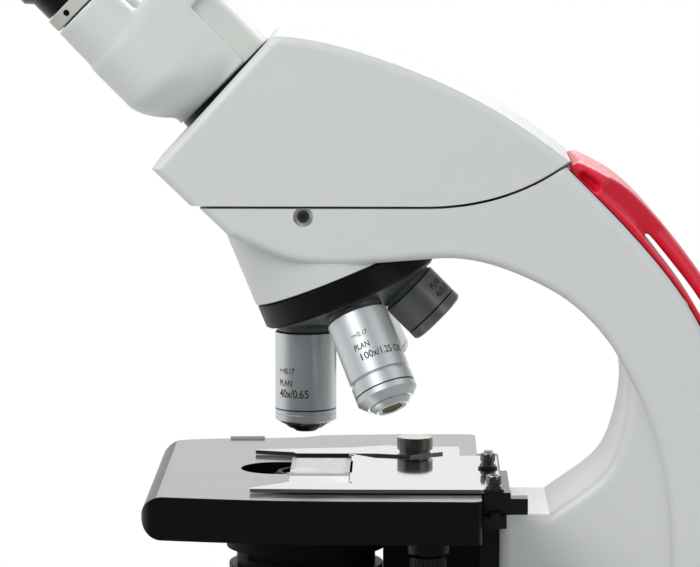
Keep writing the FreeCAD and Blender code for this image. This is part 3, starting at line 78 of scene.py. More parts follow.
fold_axis = Vector((-1, 0, 1)).normalized()
fold_up = Vector((1, 0, 1)).normalized()
eye_tube_right = Vector((axis_x, -tube_apart, tube_height)) - fold_up * tube_below
eye_tube_left = Vector((eye_tube_right.x, -eye_tube_right.y, eye_tube_right.z))
stage_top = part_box("stage_plate")[1][2]
print("optical axis at x =", round(axis_x, 4), "stage top at z =", round(stage_top, 4))

# %% [markdown]
# The photographer stood far off with a long lens, a little above the stage, so verticals hardly
# converge. A long lens from the same distance gives the same outlines. The camera looks straight
# along its own -Z.
# %% Camera
lens_pixels, picture_width, film_width = 3900, 700, 36
standpoint = (axis_x + 45.445 * mm, -1696.593 * mm, 429.689 * mm)
turn, dip = math.radians(0.88), math.radians(6.65)
ahead = Vector((-math.sin(turn) * math.cos(dip), math.cos(turn) * math.cos(dip), -math.sin(dip)))
right = Vector((math.cos(turn), math.sin(turn), 0))
camera_data = bpy.data.cameras.new("bench_camera")
camera_data.sensor_width = film_width
camera_data.lens = lens_pixels / picture_width * film_width
camera_data.clip_end = 30
camera = bpy.data.objects.new("bench_camera", camera_data)
bpy.context.scene.collection.objects.link(camera)
camera.matrix_world = Matrix((right, right.cross(ahead), -ahead)).transposed().to_4x4()
camera.location = standpoint
bpy.context.scene.camera = camera
print("lens", round(camera_data.lens, 1), "mm")

# %% [markdown]
# Studio light for a white instrument is soft and nearly even: a wide key from above on the left,
# a weaker fill on the right and a strip behind, which draws the pale edge along the arm.
# %% Lamps
def soft_light(name, place, target, size, power):
    """A flat lamp that faces a target."""
    data = bpy.data.lights.new(name, "AREA")
    data.shape = "RECTANGLE"
    data.size, data.size_y = size
    data.energy = power
    lamp = bpy.data.objects.new(name, data)
    bpy.context.scene.collection.objects.link(lamp)
    lamp.location = place
    lamp.rotation_euler = (Vector(target) - Vector(place)).to_track_quat("-Z", "Y").to_euler()
    return lamp

lamps = [soft_light("key", (-0.9, -1.0, 1.4), (0, 0, 0.25), size=(1.1, 1.1), power=17.5),
         soft_light("fill", (1.1, -0.8, 0.9), (0, 0, 0.25), size=(1.0, 1.0), power=3.8),
         soft_light("back_strip", (0.3, 1.3, 1.0), (0, 0, 0.2), size=(1.2, 0.5), power=9)]
print("lamps:", [lamp.name for lamp in lamps])

# %% [markdown]
# A shader tree is easier to read as sums than as wires. This class stands for one socket, so that
# noise * 0.1 + 0.4 adds the Math nodes by itself. Anything that isn't a sum comes from one
# function.
# %% Shader maths as Python
class Wire:
    """The outlet of a shader node, which can be used in sums."""

    def __init__(self, tree, socket):
        self.tree = tree
        self.socket = socket

    def __add__(self, other):
        return node(self.tree, "Math", {"operation": "ADD"}, {0: self, 1: other})

    def __sub__(self, other):
        return node(self.tree, "Math", {"operation": "SUBTRACT"}, {0: self, 1: other})

    def __mul__(self, other):
        return node(self.tree, "Math", {"operation": "MULTIPLY"}, {0: self, 1: other})

    def __lt__(self, other):
        return node(self.tree, "Math", {"operation": "LESS_THAN"}, {0: self, 1: other})

    def __gt__(self, other):
        return node(self.tree, "Math", {"operation": "GREATER_THAN"}, {0: self, 1: other})


def node(tree, kind, settings, inputs, outlet=0):
    """Adds a shader node: settings first, then the value or wire of each socket."""
    made = tree.nodes.new("ShaderNode" + kind)
    for name, value in settings.items():
        setattr(made, name, value)
    for name, value in inputs.items():
        if isinstance(value, Wire):
            tree.links.new(value.socket, made.inputs[name])
        else:
            made.inputs[name].default_value = value
    return Wire(tree, made.outputs[outlet])


def rgb(colour):
    """A colour with full opacity."""
    return (colour[0], colour[1], colour[2], 1.0)


def srgb(red, green, blue):
    """A colour read off a screen, 0 to 255, as the light that it stands for."""
    return tuple(((c / 255 + 0.055) / 1.055) ** 2.4 if c > 10 else c / 255 / 12.92
                 for c in (red, green, blue))

# %% [markdown]
# The sky is bright white where it is looked at, looked at through glass, or mirrored from behind
# the object, where a photographer hangs the white paper. In front of the object the room is dim,
# and that is what gives turned metal its dark band. Everything else gets a soft, weaker light,
# which doesn't wash out the shading.
# %% Sky
scene = bpy.context.scene
scene.view_settings.view_transform = "Standard"
sky = bpy.data.worlds.new("studio")
scene.world = sky
sky.use_nodes = True
tree = sky.node_tree
tree.nodes.clear()
looked_at = node(tree, "LightPath", {}, {}, "Is Camera Ray")
mirrored = node(tree, "LightPath", {}, {}, "Is Glossy Ray")
through = node(tree, "LightPath", {}, {}, "Is Transmission Ray")
direction = node(tree, "TexCoord", {}, {}, "Generated")
depth = node(tree, "VectorMath", {"operation": "DOT_PRODUCT"},
             {0: direction, 1: (-0.25, 1.0, 0.45)}, "Value")
behind = node(tree, "MapRange", {"interpolation_type": "SMOOTHSTEP"}, {
    "Value": depth, "From Min": -0.35, "From Max": 0.3, "To Min": 0.0, "To Max": 1.0})
soft = node(tree, "Background", {}, {"Color": (0.94, 0.97, 1.0, 1), "Strength": 0.42})
dim = node(tree, "Background", {}, {"Color": (0.94, 0.97, 1.0, 1), "Strength": 0.16})
white = node(tree, "Background", {}, {"Color": (1, 1, 1, 1), "Strength": 1.0})
room = node(tree, "MixShader", {}, {0: mirrored, 1: soft, 2: dim})
paper_seen = node(tree, "Math", {"operation": "MAXIMUM"}, {0: looked_at, 1: mirrored * behind})
paper_seen = node(tree, "Math", {"operation": "MAXIMUM"}, {0: paper_seen, 1: through})
both = node(tree, "MixShader", {}, {0: paper_seen, 1: room, 2: white})
output = tree.nodes.new("ShaderNodeOutputWorld")
tree.links.new(both.socket, output.inputs["Surface"])
print("sky nodes:", len(tree.nodes))

# %% [markdown]
# Most finishes share one recipe: a base colour that drifts a little over the piece, a roughness
# that isn't quite even, and a fine bump. What differs is the scale of the grain and how much of
# each there is.
# %% The common finish
def finish(name, colour, rough, metal=0.0, grain=900, bump=0.00001, drift=0.04, uneven=0.06,
           coat=0.0, coat_rough=0.1, paint=None, height=None, specular=0.5, gloss=None):
    """A material with drifting colour, uneven roughness and a fine grain."""
    material = bpy.data.materials.new(name)
    material.use_nodes = True
    tree = material.node_tree
    tree.nodes.clear()
    place = node(tree, "TexCoord", {}, {}, "Object")
    cloud = node(tree, "TexNoise", {}, {"Vector": place, "Scale": 22.0, "Detail": 3.0})
    fine = node(tree, "TexNoise", {}, {"Vector": place, "Scale": grain, "Detail": 4.0})
    tone = node(tree, "Mix", {"data_type": "RGBA"}, {
        0: cloud, 6: rgb([c * (1 - drift) for c in colour]),
        7: rgb([min(1, c * (1 + drift)) for c in colour])}, 2)
    roughness = cloud * uneven + (fine - 0.5) * uneven + (rough - uneven / 2)
    relief = fine
    if paint:
        tone, roughness = paint(tree, place, tone, roughness)
    if height:
        relief = height(tree, place, fine)
    if gloss:
        coat = gloss(tree, place)
    normal = node(tree, "Bump", {}, {"Height": relief, "Distance": bump, "Strength": 1.0})
    surface = node(tree, "BsdfPrincipled", {}, {
        "Base Color": tone, "Roughness": roughness, "Metallic": metal, "Coat Weight": coat,
        "Coat Roughness": coat_rough, "Normal": normal, "Specular IOR Level": specular})
    output = tree.nodes.new("ShaderNodeOutputMaterial")
    tree.links.new(surface.socket, output.inputs["Surface"])
    return material


dressed = set()


def dress(material, *names):
    """Gives solids a finish and notes their names."""
    for name in names:
        parts[name].data.materials.clear()
        parts[name].data.materials.append(material)
        dressed.add(name)

# %% [markdown]
# The big castings are powder coated: white polyester with a very fine orange peel. The grain is
# under a millimetre, so it is felt in the highlights more than it is seen.
# %% Powder coat
coat_white = finish("powder_coat_white", srgb(219, 221, 219), 0.42, grain=1400, bump=0.000012,
                    drift=0.012, uneven=0.05, coat=0.12, coat_rough=0.25)
coat_pale = finish("powder_coat_pale", srgb(212, 216, 210), 0.44, grain=1400, bump=0.000012,
                   drift=0.012, uneven=0.05, coat=0.1, coat_rough=0.25)
dress(coat_white, "head_housing", "arm_casting", "right_eye_arm", "left_eye_arm")
dress(coat_pale, "base_housing", "binocular_hub")

# %% [markdown]
# The handle is moulded in red plastic with a satin skin. A thin coat gives its upper side the
# pale pink gloss.
# %% Red handle
red_plastic = finish("red_plastic", srgb(232, 30, 60), 0.4, grain=1800, bump=0.000006, drift=0.05,
                     uneven=0.06, coat=0.25, coat_rough=0.2, specular=0.3)
dress(red_plastic, "rear_handle")

# %% [markdown]
# Black pieces on an instrument are seldom the same black. Anodised aluminium is a dense
# grey-black with a metal sheen, moulded grips are duller, and rubber has almost no highlight at
# all.
# %% Black finishes
def top_only(tree, place):
    """A gloss on the lapped top of the stage and none on its cast sides."""
    height = node(tree, "SeparateXYZ", {}, {0: place}, "Z")
    return (height > stage_top - 0.4 * mm) * 0.8

stage_black = finish("ceramic_black", srgb(8, 9, 11), 0.3, grain=2600, bump=0.000002, drift=0.1,
                     uneven=0.04, specular=0.2, coat_rough=0.09, gloss=top_only)
black_coat = finish("satin_black_coat", srgb(16, 18, 20), 0.3, grain=2600, bump=0.000006, drift=0.1,
                    uneven=0.08, specular=0.3)
anodised = finish("black_anodised", srgb(22, 23, 25), 0.36, metal=0.35, grain=3000, bump=0.000004,
                  drift=0.1, uneven=0.08, specular=0.3)
moulded = finish("black_moulding", srgb(15, 17, 20), 0.42, grain=1600, bump=0.00002, drift=0.1,
                 uneven=0.1, specular=0.25)
rubber = finish("black_rubber", srgb(20, 20, 21), 0.68, grain=1200, bump=0.00003, drift=0.15,
                uneven=0.12, specular=0.3)
dress(stage_black, "stage_plate")
deep_black = finish("matt_black_coat", srgb(9, 10, 11), 0.6, grain=2600, bump=0.00001, drift=0.1,
                    uneven=0.06, specular=0.1)
dress(deep_black, "condenser_body", "stage_bracket", "stage_base", "condenser_carrier")
dress(black_coat, "lamp_collar", "right_eyepiece", "left_eyepiece")
dress(anodised, "iris_ring", "slide_rail", "carriage_block", "focus_slide", "heat_sink",
      "pivot_flange", "objective_40x_tip", "base_plate")
grip_black = finish("grip_ring_moulding", srgb(8, 9, 11), 0.42, grain=1600, bump=0.00002, drift=0.1,
                    uneven=0.1, specular=0.2)
dress(grip_black, "grip_ring")
dress(moulded, "coarse_knobs", "fine_drive", "condenser_knob", "y_drive_knob",
      "x_drive_knob", "power_inlet", "power_switch", "brightness_dial", "diopter_ring")
dress(rubber, "right_eyecup", "left_eyecup", "rubber_feet")
grey_anodised = finish("grey_anodised", srgb(98, 102, 104), 0.4, metal=0.85, grain=3000,
                       bump=0.000003, drift=0.05, uneven=0.06, specular=0.3)
dress(grey_anodised, "turret_body")
print("solids with a finish:", len(dressed), "of", len(parts))

# %% [markdown]
# Screws, shafts and racks are bare metal: steel a little blue, brass warm.
# %% Bare metals
steel = finish("turned_steel", (0.52, 0.53, 0.55), 0.3, metal=1.0, grain=2500, bump=0.000004)
dark_steel = finish("blackened_steel", (0.09, 0.09, 0.095), 0.34, metal=0.8, grain=2500,
                    bump=0.000006)
brass = finish("milled_brass", (0.72, 0.5, 0.2), 0.32, metal=1.0, grain=2500, bump=0.000004)
polished = finish("polished_steel", (0.70, 0.71, 0.71), 0.07, metal=1.0, grain=2500,
                  bump=0.0000006, drift=0.02, uneven=0.03)
black_nickel = finish("black_nickel", (0.16, 0.155, 0.155), 0.16, metal=1.0, grain=2500,
                      bump=0.000002, uneven=0.05)
bronzed = finish("bronzed_steel", (0.17, 0.145, 0.13), 0.2, metal=1.0, grain=2500, bump=0.000002,
                 uneven=0.06)
dress(steel, "coarse_shaft", "turret_pivot", "head_dovetail")
dress(polished, "slide_holder", "slide_finger")
dress(black_nickel, "thumb_screws")
dress(bronzed, "finger_knob")
dress(dark_steel, "arm_bolts", "head_clamp_screw")
dress(brass, "shaft_bushes", "focus_guide", "focus_rack")
beige = finish("grey_beige_moulding", srgb(200, 203, 190), 0.5, grain=1600, bump=0.00001,
               drift=0.03)
dress(beige, "right_eye_collar")
print("solids with a finish:", len(dressed), "of", len(parts))

# %% [markdown]
# An objective's barrel is turned on a lathe, so its grain runs round it as fine rings. The
# distance along the barrel comes from a dot product with its direction, and everything that goes
# round it, such as the coloured ring that tells the magnification, is a test on that distance.
# %% Turned barrels
ring_grain = 5200.0


def barrel_finish(name, place, colour, rough, metal, bands):
    """A turned finish for the objective at one place. A band is from, to (in mm) and colour."""
    start = seat(place)
    direction = seat_direction(place)

    def along(tree, coordinates):
        moved = node(tree, "VectorMath", {"operation": "SUBTRACT"}, {0: coordinates, 1: start})
        return node(tree, "VectorMath", {"operation": "DOT_PRODUCT"}, {0: moved, 1: direction},
                    "Value")

    def paint(tree, coordinates, tone, roughness):
        depth = along(tree, coordinates)
        rings = node(tree, "TexNoise", {"noise_dimensions": "1D"},
                     {"W": depth * ring_grain, "Scale": 1.0, "Detail": 2.0})
        roughness = roughness + (rings - 0.5) * 0.08
        for low, high, band_colour in bands:
            inside = (depth > low * mm) * (depth < high * mm)
            tone = node(tree, "Mix", {"data_type": "RGBA"},
                        {0: inside, 6: tone, 7: rgb(band_colour)}, 2)
        return tone, roughness

    def height(tree, coordinates, fine):
        depth = along(tree, coordinates)
        rings = node(tree, "TexNoise", {"noise_dimensions": "1D"},
                     {"W": depth * ring_grain, "Scale": 1.0, "Detail": 2.0})
        return rings * 0.8 + fine * 0.2

    return finish(name, colour, rough, metal=metal, grain=3000, bump=0.000002, drift=0.03,
                  paint=paint, height=height)


dress(barrel_finish("satin_aluminium_40x", 0, (0.60, 0.62, 0.63), 0.40, 1.0,
                    [(-5.0, 0.6, (0.06, 0.06, 0.06)), (33.9, 34.6, (0.03, 0.10, 0.22)),
                     (39.9, 46.0, (0.012, 0.012, 0.012))]),
      "objective_40x")
bright_aluminium = barrel_finish(
    "bright_aluminium_100x", 3, (0.66, 0.68, 0.69), 0.46, 1.0,
    [(-5.0, 0.2, (0.05, 0.05, 0.05)), (35.6, 36.2, (0.01, 0.01, 0.01))])
dress(bright_aluminium, "objective_100x", "objective_100x_tip")
dress(barrel_finish("satin_aluminium_10x", 1, (0.60, 0.61, 0.62), 0.34, 1.0,
                    [(-5.0, 0.2, (0.02, 0.02, 0.02)), (25.0, 25.7, (0.75, 0.55, 0.02))]),
      "objective_10x")
dress(barrel_finish("dark_anodised_4x", 2, (0.25, 0.255, 0.26), 0.38, 0.9,
                    [(-5.0, 0.2, (0.02, 0.02, 0.02)), (13.6, 14.3, (0.01, 0.01, 0.01))]),
      "objective_4x")

# %% [markdown]
# Glass needs light to pass through it, so it gets full transmission and the index of crown glass.
# %% Glass
def glass(name, tint, rough=0.02):
    """Clear glass with a faint unevenness in its polish."""
    material = bpy.data.materials.new(name)
    material.use_nodes = True
    tree = material.node_tree
    tree.nodes.clear()
    place = node(tree, "TexCoord", {}, {}, "Object")
    cloud = node(tree, "TexNoise", {}, {"Vector": place, "Scale": 120.0, "Detail": 2.0})
    surface = node(tree, "BsdfPrincipled", {}, {
        "Base Color": rgb(tint), "Roughness": cloud * rough, "Transmission Weight": 1.0,
        "IOR": 1.5})
    output = tree.nodes.new("ShaderNodeOutputMaterial")
    tree.links.new(surface.socket, output.inputs["Surface"])
    return material


dress(glass("crown_glass", (0.97, 0.99, 0.98)), "specimen_slide", "condenser_lenses",
      "deflecting_prism")
dress(glass("frosted_glass", (0.95, 0.97, 0.97), 0.5), "field_lens")
lamp_board = finish("white_board", (0.8, 0.8, 0.76), 0.5)
dress(lamp_board, "led_module")
print("solids with a finish:", len(dressed), "of", len(parts))

# %% [markdown]
# The next pieces are too small for the machining drawing, or are printed. A lathe turns a round
# one: the disc that is added first is extruded and scaled from one (radius, height) to the next,
# as the tool would follow the profile. Each finished piece keeps its place in its own mesh and
# rides on the body that carries it.
# %% Helpers for small pieces
def fresh(kind, name, **settings):
    """Adds a primitive with nothing else selected."""
    bpy.ops.object.select_all(action="DESELECT")
    getattr(bpy.ops.mesh, "primitive_" + kind + "_add")(**settings)
    bpy.context.object.name = name
    return bpy.context.object


def set_down(piece, place, towards, up=None):
    """Moves a piece drawn about the origin and turns its Z towards one way, its Y up another."""
    towards = Vector(towards).normalized()
    if up is None:
        turned = towards.to_track_quat("Z", "Y").to_matrix()
    else:
        turned = Matrix((Vector(up).cross(towards), Vector(up), towards)).transposed()
    piece.matrix_world = Matrix.Translation(Vector(place)) @ turned.to_4x4()
    bpy.ops.object.select_all(action="DESELECT")
    piece.select_set(True)
    bpy.context.view_layer.objects.active = piece
    bpy.ops.object.transform_apply(location=True, rotation=True, scale=True)


def fit(piece, material, body, *stands_for):
    """Gives a finished piece its material and body; it may stand for plainer solids."""
    piece.data.materials.clear()
    piece.data.materials.append(material)
    bpy.context.view_layer.objects.active = piece
    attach(piece, body)
    if stands_for:
        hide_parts(*stands_for)
    return piece


def lathed(name, profile, place, towards, sides=64):
    """A turned piece from (radius, height) pairs in millimetres, with softened edges."""
    radius, height = profile[0]
    piece = fresh("circle", name, vertices=sides, radius=radius * mm, fill_type="NGON")
    bpy.ops.object.mode_set(mode="EDIT")
    bpy.ops.mesh.select_all(action="SELECT")
    bpy.ops.transform.translate(value=(0, 0, height * mm))
    for next_radius, next_height in profile[1:]:
        bpy.ops.mesh.extrude_region_move(
            TRANSFORM_OT_translate={"value": (0, 0, (next_height - height) * mm)})
        share = next_radius / radius
        bpy.ops.transform.resize(value=(share, share, 1), center_override=(0, 0, 0))
        radius, height = next_radius, next_height
    bpy.ops.mesh.select_all(action="SELECT")
    bpy.ops.mesh.normals_make_consistent(inside=False)
    bpy.ops.object.mode_set(mode="OBJECT")
    bpy.ops.object.shade_smooth_by_angle(angle=math.radians(35))
    set_down(piece, place, towards)
    return piece

# %% [markdown]
# The slide finger is sprung sheet steel. In front it lies level with the slide, so that it can
# push on the edge of the glass, and behind it is bent up over the holder. A copy of its solid is
# merged, and the front is set down. Where the sheet faces up, its light tone is a painted
# reflection of the sky, and its cut edges and underside are darkened as painted shade.
# %% Slide finger
def copied(node, name):
    """A merged copy of a solid, ready to be shaped further."""
    bpy.ops.object.select_all(action="DESELECT")
    piece = parts[node].copy()
    piece.data = parts[node].data.copy()
    piece.name = name
    bpy.context.scene.collection.objects.link(piece)
    piece.select_set(True)
    bpy.context.view_layer.objects.active = piece
    bpy.ops.object.mode_set(mode="EDIT")
    bpy.ops.mesh.select_all(action="SELECT")
    bpy.ops.mesh.remove_doubles(threshold=0.00001)
    bpy.ops.object.mode_set(mode="OBJECT")
    return piece


def choose(piece, wanted):
    """Selects the corners for which a test holds and leaves edit mode on."""
    bpy.ops.object.mode_set(mode="EDIT")
    bpy.ops.mesh.select_all(action="DESELECT")
    shape = bmesh.from_edit_mesh(piece.data)
    chosen = [corner for corner in shape.verts if wanted(corner.co)]
    for corner in chosen:
        corner.select = True
    shape.select_flush_mode()
    bmesh.update_edit_mesh(piece.data)
    return len(chosen)


def painted_reflection_and_shade(light, dark):
    """Paints a light tone where a piece faces up and a dark one elsewhere: painted reflection and
    shade.
    """
    def paint(tree, place, tone, roughness):
        facing = node(tree, "TexCoord", {}, {}, "Normal")
        upward = node(tree, "SeparateXYZ", {}, {0: facing}, "Z")
        return node(tree, "Mix", {"data_type": "RGBA"},
                    {0: upward > 0.8, 6: rgb(dark), 7: rgb(light)}, 2), roughness
    return paint


sprung_steel = finish("sprung_steel", (0.6, 0.6, 0.6), 0.12, metal=1.0, grain=2500, bump=0.000001,
                      paint=painted_reflection_and_shade((0.66, 0.67, 0.67), (0.17, 0.17, 0.175)))
# The knob's top gets the same painted reflection of the sky, and its sides painted shade.
knob_steel = finish("knob_steel", (0.2, 0.2, 0.2), 0.2, metal=1.0, grain=2500, bump=0.000002,
                    uneven=0.06, paint=painted_reflection_and_shade((0.46, 0.45, 0.43), (0.14, 0.125, 0.115)))
finger = copied("slide_finger", "bent_slide_finger")
holder_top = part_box("slide_holder")[1][2]
bend_x, front_drop, sheet_thinning = -11 * mm, 1.3 * mm, 0.4 * mm
count = choose(finger, lambda at: at.x < bend_x and at.z > holder_top + 0.5 * mm)
bpy.ops.transform.translate(value=(0, 0, -front_drop))
choose(finger, lambda at: at.z > holder_top + 1.0 * mm)
bpy.ops.transform.translate(value=(0, 0, -sheet_thinning))
bpy.ops.object.mode_set(mode="OBJECT")
fit(finger, sprung_steel, "finger", "slide_finger")
print("finger corners set down:", count)

# %% [markdown]
# Die castings and mouldings have no sharp corners. A copy of each solid is rebuilt on a fine grid
# and then relaxed, which rounds every corner softly, and at last it is thinned where it is flat.
# %% Rounded mouldings
def relaxed(piece, rounds):
    """Lets a fine mesh settle, which rounds its corners."""
    calm = piece.modifiers.new("calm", "SMOOTH")
    calm.factor = 0.5
    calm.iterations = rounds
    bpy.ops.object.modifier_apply(modifier="calm")


def softened(name, node_name, voxel, rounds):
    """A copy of a solid with its corners rounded."""
    piece = copied(node_name, name)
    grid = piece.modifiers.new("grid", "REMESH")
    grid.mode = "VOXEL"
    grid.voxel_size = voxel * mm
    grid.use_smooth_shade = True
    bpy.ops.object.modifier_apply(modifier="grid")
    relaxed(piece, rounds)
    return piece


def thinned(piece, share):
    """Keeps a share of the faces."""
    thin = piece.modifiers.new("thin", "DECIMATE")
    thin.ratio = share
    bpy.ops.object.modifier_apply(modifier="thin")
    bpy.ops.object.shade_smooth()


for side in ("right", "left"):
    shell = softened(side + "_arm_casting", side + "_eye_arm", voxel=0.65, rounds=30)
    thinned(shell, 0.5)
    fit(shell, coat_white, side + "_arm", side + "_eye_arm")
    print(shell.name, "has", len(shell.data.polygons), "faces")

# %% [markdown]
# The handle is rounded in the same way. That flattens the long dimple in each of its sides, so
# the dimple is pressed in again. Each step goes deeper and takes a narrower strip, and a short
# relaxing blends the steps.
# %% Handle
grip = softened("moulded_handle", "rear_handle", voxel=0.9, rounds=14)
dimple_high = Vector((87.7, 0, 282.0)) * mm
dimple_low = Vector((93.1, 0, 277.7)) * mm
dimple_run = dimple_low - dimple_high
side_start = 28 * mm
dimple_steps = ((3.0, 0.4), (2.5, 0.7), (2.0, 0.8), (1.4, 0.6), (0.8, 0.3))


def from_dimple(at):
    """How far a corner is from the middle line of the dimple, seen from the side."""
    flat = Vector((at.x, 0, at.z)) - dimple_high
    share = min(1, max(0, flat.dot(dimple_run) / dimple_run.length_squared))
    return (flat - dimple_run * share).length


for side in (-1, 1):
    for reach, depth in dimple_steps:
        choose(grip, lambda at: at.y * side > side_start and from_dimple(at) < reach * mm)
        bpy.ops.transform.translate(value=(0, -side * depth * mm, 0))
        bpy.ops.object.mode_set(mode="OBJECT")
relaxed(grip, rounds=3)
thinned(grip, 0.45)
fit(grip, red_plastic, "stand", "rear_handle")
print("triangles of the handle:", sum(len(face.vertices) - 2 for face in grip.data.polygons))

# %% [markdown]
# The finger turns on a round knob with a short stem. Two screws with waisted heads and round
# sockets, each on a washer, clamp the holder to its carriage. All of them are turned pieces, so
# they come from the lathe function.
# %% Pivot knob and screws
pivot = Vector((axis_x + 48 * mm, 27 * mm, 0))
knob = lathed("finger_pivot_knob", [
    (2.5, 150.45), (2.5, 153.1), (7.0, 153.1), (7.0, 153.9), (7.6, 154.1), (8.0, 154.5),
    (8.0, 159.4), (7.6, 159.9), (5.2, 160.0), (0.5, 160.0)], pivot, (0, 0, 1))
fit(knob, knob_steel, "slide_carriage", "finger_knob")
screw_places = [(81.2, -71.2), (79.8, -12.0)]
for number, (x, y) in enumerate(screw_places):
    at = Vector((axis_x + x * mm, y * mm, 0))
    screw = lathed("holder_screw_%d" % (number + 1), [
        (1.5, 147.0), (1.5, 153.0), (3.3, 153.0), (3.5, 153.2), (3.5, 154.2), (2.9, 154.5),
        (2.9, 155.2), (3.3, 155.5), (3.3, 158.2), (3.0, 158.8), (1.7, 158.9), (1.7, 157.0),
        (0.2, 157.0)], at, (0, 0, 1), 48)
    plainer = ("thumb_screws",) if number == 0 else ()
    fit(screw, black_nickel, "slide_carriage", *plainer)
    washer = lathed("screw_washer_%d" % (number + 1), [
        (4.1, 152.02), (4.3, 152.2), (4.3, 152.8), (4.1, 152.98), (1.6, 152.98)],
        at, (0, 0, 1), 48)
    fit(washer, black_coat, "slide_carriage")
print("turned pieces:", 1 + 2 * len(screw_places))

# %% [markdown]
# Lettering on a barrel follows its curve. The type is set flat, made a mesh, held in front of the
# barrel and projected on it, a twentieth of a millimetre proud, as a thick ink would be. The
# words say what every objective says: the tube length and cover glass, the kind of lens, its
# magnification and aperture.
# %% Lettering on a curved face
def lettering(name, words, width, target, body, ink, place, towards, up):
    """Words of a given width, projected on a solid from a place in front of it."""
    proud = 0.05 * mm
    taller = 1.25
    bpy.ops.object.select_all(action="DESELECT")
    bpy.ops.object.text_add()
    label = bpy.context.object
    label.name = name
    label.data.body = words
    label.data.size = 4 * mm
    label.data.offset = proud
    label.data.align_x = "CENTER"
    label.data.align_y = "CENTER"
    bpy.ops.object.convert(target="MESH")
    label = bpy.context.object
    stretch = width * mm / label.dimensions.x
    bpy.ops.transform.resize(value=(stretch, stretch * taller, 1), center_override=(0, 0, 0))
    bpy.ops.object.transform_apply(location=True, rotation=True, scale=True)
    turned = Matrix((Vector(up).cross(towards), Vector(up), Vector(towards))).transposed()
    label.matrix_world = Matrix.Translation(Vector(place)) @ turned.to_4x4()
    bpy.context.view_layer.update()
    wrap = label.modifiers.new("wrap", "SHRINKWRAP")
    wrap.target = parts[target]
    wrap.wrap_method = "PROJECT"
    wrap.use_project_z = True
    wrap.use_positive_direction = False
    wrap.use_negative_direction = True
    wrap.offset = proud
    bpy.ops.object.modifier_apply(modifier="wrap")
    bpy.ops.object.transform_apply(location=True, rotation=True, scale=True)
    fit(label, ink, body)

# %% [markdown]
# A row of words stands at a distance from its barrel's shoulder and at an angle round the barrel.
# Each row below gives the objective's place, its solid, the words, their width, that distance in
# millimetres and that angle.
# %% Words on the objectives
def on_barrel(place, depth, angle):
    """A point in front of a barrel, the way out to it and the type's upward direction."""
    reach = 20
    direction = seat_direction(place)
    front = Vector((0, -1, 0))
    front = (front - direction * front.dot(direction)).normalized()
    out = Matrix.Rotation(math.radians(angle), 3, direction) @ front
    return seat(place) + direction * depth * mm + out * reach * mm, out, -direction


black_ink = finish("black_ink", srgb(20, 21, 23), 0.45, grain=3000)
white_ink = finish("white_ink", srgb(226, 228, 226), 0.5, grain=3000)
rows = [
    (0, "objective_40x", "\u221e/0.17", 8.2, 17.0, 38),
    (0, "objective_40x", "PLAN", 7.0, 22.3, 40.5),
    (0, "objective_40x", "40x/0.65", 14.0, 27.0, 24),
    (3, "objective_100x", "\u221e/0.17", 7.2, 12.0, 4),
    (3, "objective_100x", "PLAN", 6.9, 17.3, 7),
    (3, "objective_100x", "100x/1.25 OIL", 20.0, 22.0, -30),
    (2, "objective_4x", "PLAN", 6.9, 6.2, -52),
    (2, "objective_4x", "4x/0.10", 9.2, 10.4, -54),
    (1, "objective_10x", "\u221e/0.17", 8.2, 10.0, 180),
    (1, "objective_10x", "PLAN", 7.0, 15.0, 180),
    (1, "objective_10x", "10x/0.25", 14.0, 20.0, 180)]
for number, (place, target, words, width, depth, angle) in enumerate(rows):
    at, out, up = on_barrel(place, depth, angle)
    lettering("objective_words_%02d" % (number + 1), words, width, target, "turret", black_ink,
              at, out, up)
print("rows of lettering:", len(rows))

# %% [markdown]
# The sprung nose of the oil objective comes out of its barrel, tapers at the end and closes with
# a flat rim. Inside the rim is a concave glass in a dark ring. It is coated against reflections,
# which tints it gold.
# %% Nose of the oil objective
nose = lathed("oil_objective_nose", [
    (3.0, 33.5), (8.9, 33.5), (9.1, 33.7), (9.1, 42.3), (7.5, 44.3), (7.2, 44.5), (6.5, 44.5),
    (6.2, 44.3), (5.9, 43.9), (0.4, 43.9)], seat(3), seat_direction(3))
fit(nose, bright_aluminium, "tip_100x", "objective_100x_tip")
rim = lathed("oil_lens_rim", [(5.85, 43.91), (5.7, 44.2), (5.2, 44.3), (4.6, 44.1), (4.4, 43.95),
                              (0.4, 43.95)], seat(3), seat_direction(3))
fit(rim, black_coat, "tip_100x")
gold_coat = finish("coated_lens", (0.15, 0.105, 0.05), 0.5, grain=500, drift=0.6, uneven=0.2,
                   specular=0.02)
lens = lathed("oil_front_lens", [(4.3, 43.96), (4.3, 44.1), (3.2, 44.02), (1.9, 43.98),
                                 (0.2, 43.97)], seat(3), seat_direction(3))
fit(lens, gold_coat, "tip_100x")
print("oil nose:", [piece.name for piece in (nose, rim, lens)])

# %% [markdown]
# Scales are many equal strokes. One stroke is modelled, and an array modifier repeats it along a
# line, or a spin repeats it round an axis, so that the spacing is exact.
# %% Strokes
def stroke(name, width, length, thick=0.06):
    """One printed stroke at the origin, with its long side along Y and its edges rounded."""
    mark = fresh("cube", name, size=1)
    bpy.ops.transform.resize(value=(width * mm, length * mm, thick * mm))
    bpy.ops.object.transform_apply(location=True, rotation=True, scale=True)
    bpy.ops.object.mode_set(mode="EDIT")
    bpy.ops.mesh.select_all(action="SELECT")
    bpy.ops.mesh.bevel(offset=thick * 0.3 * mm, segments=1)
    bpy.ops.object.mode_set(mode="OBJECT")
    return mark


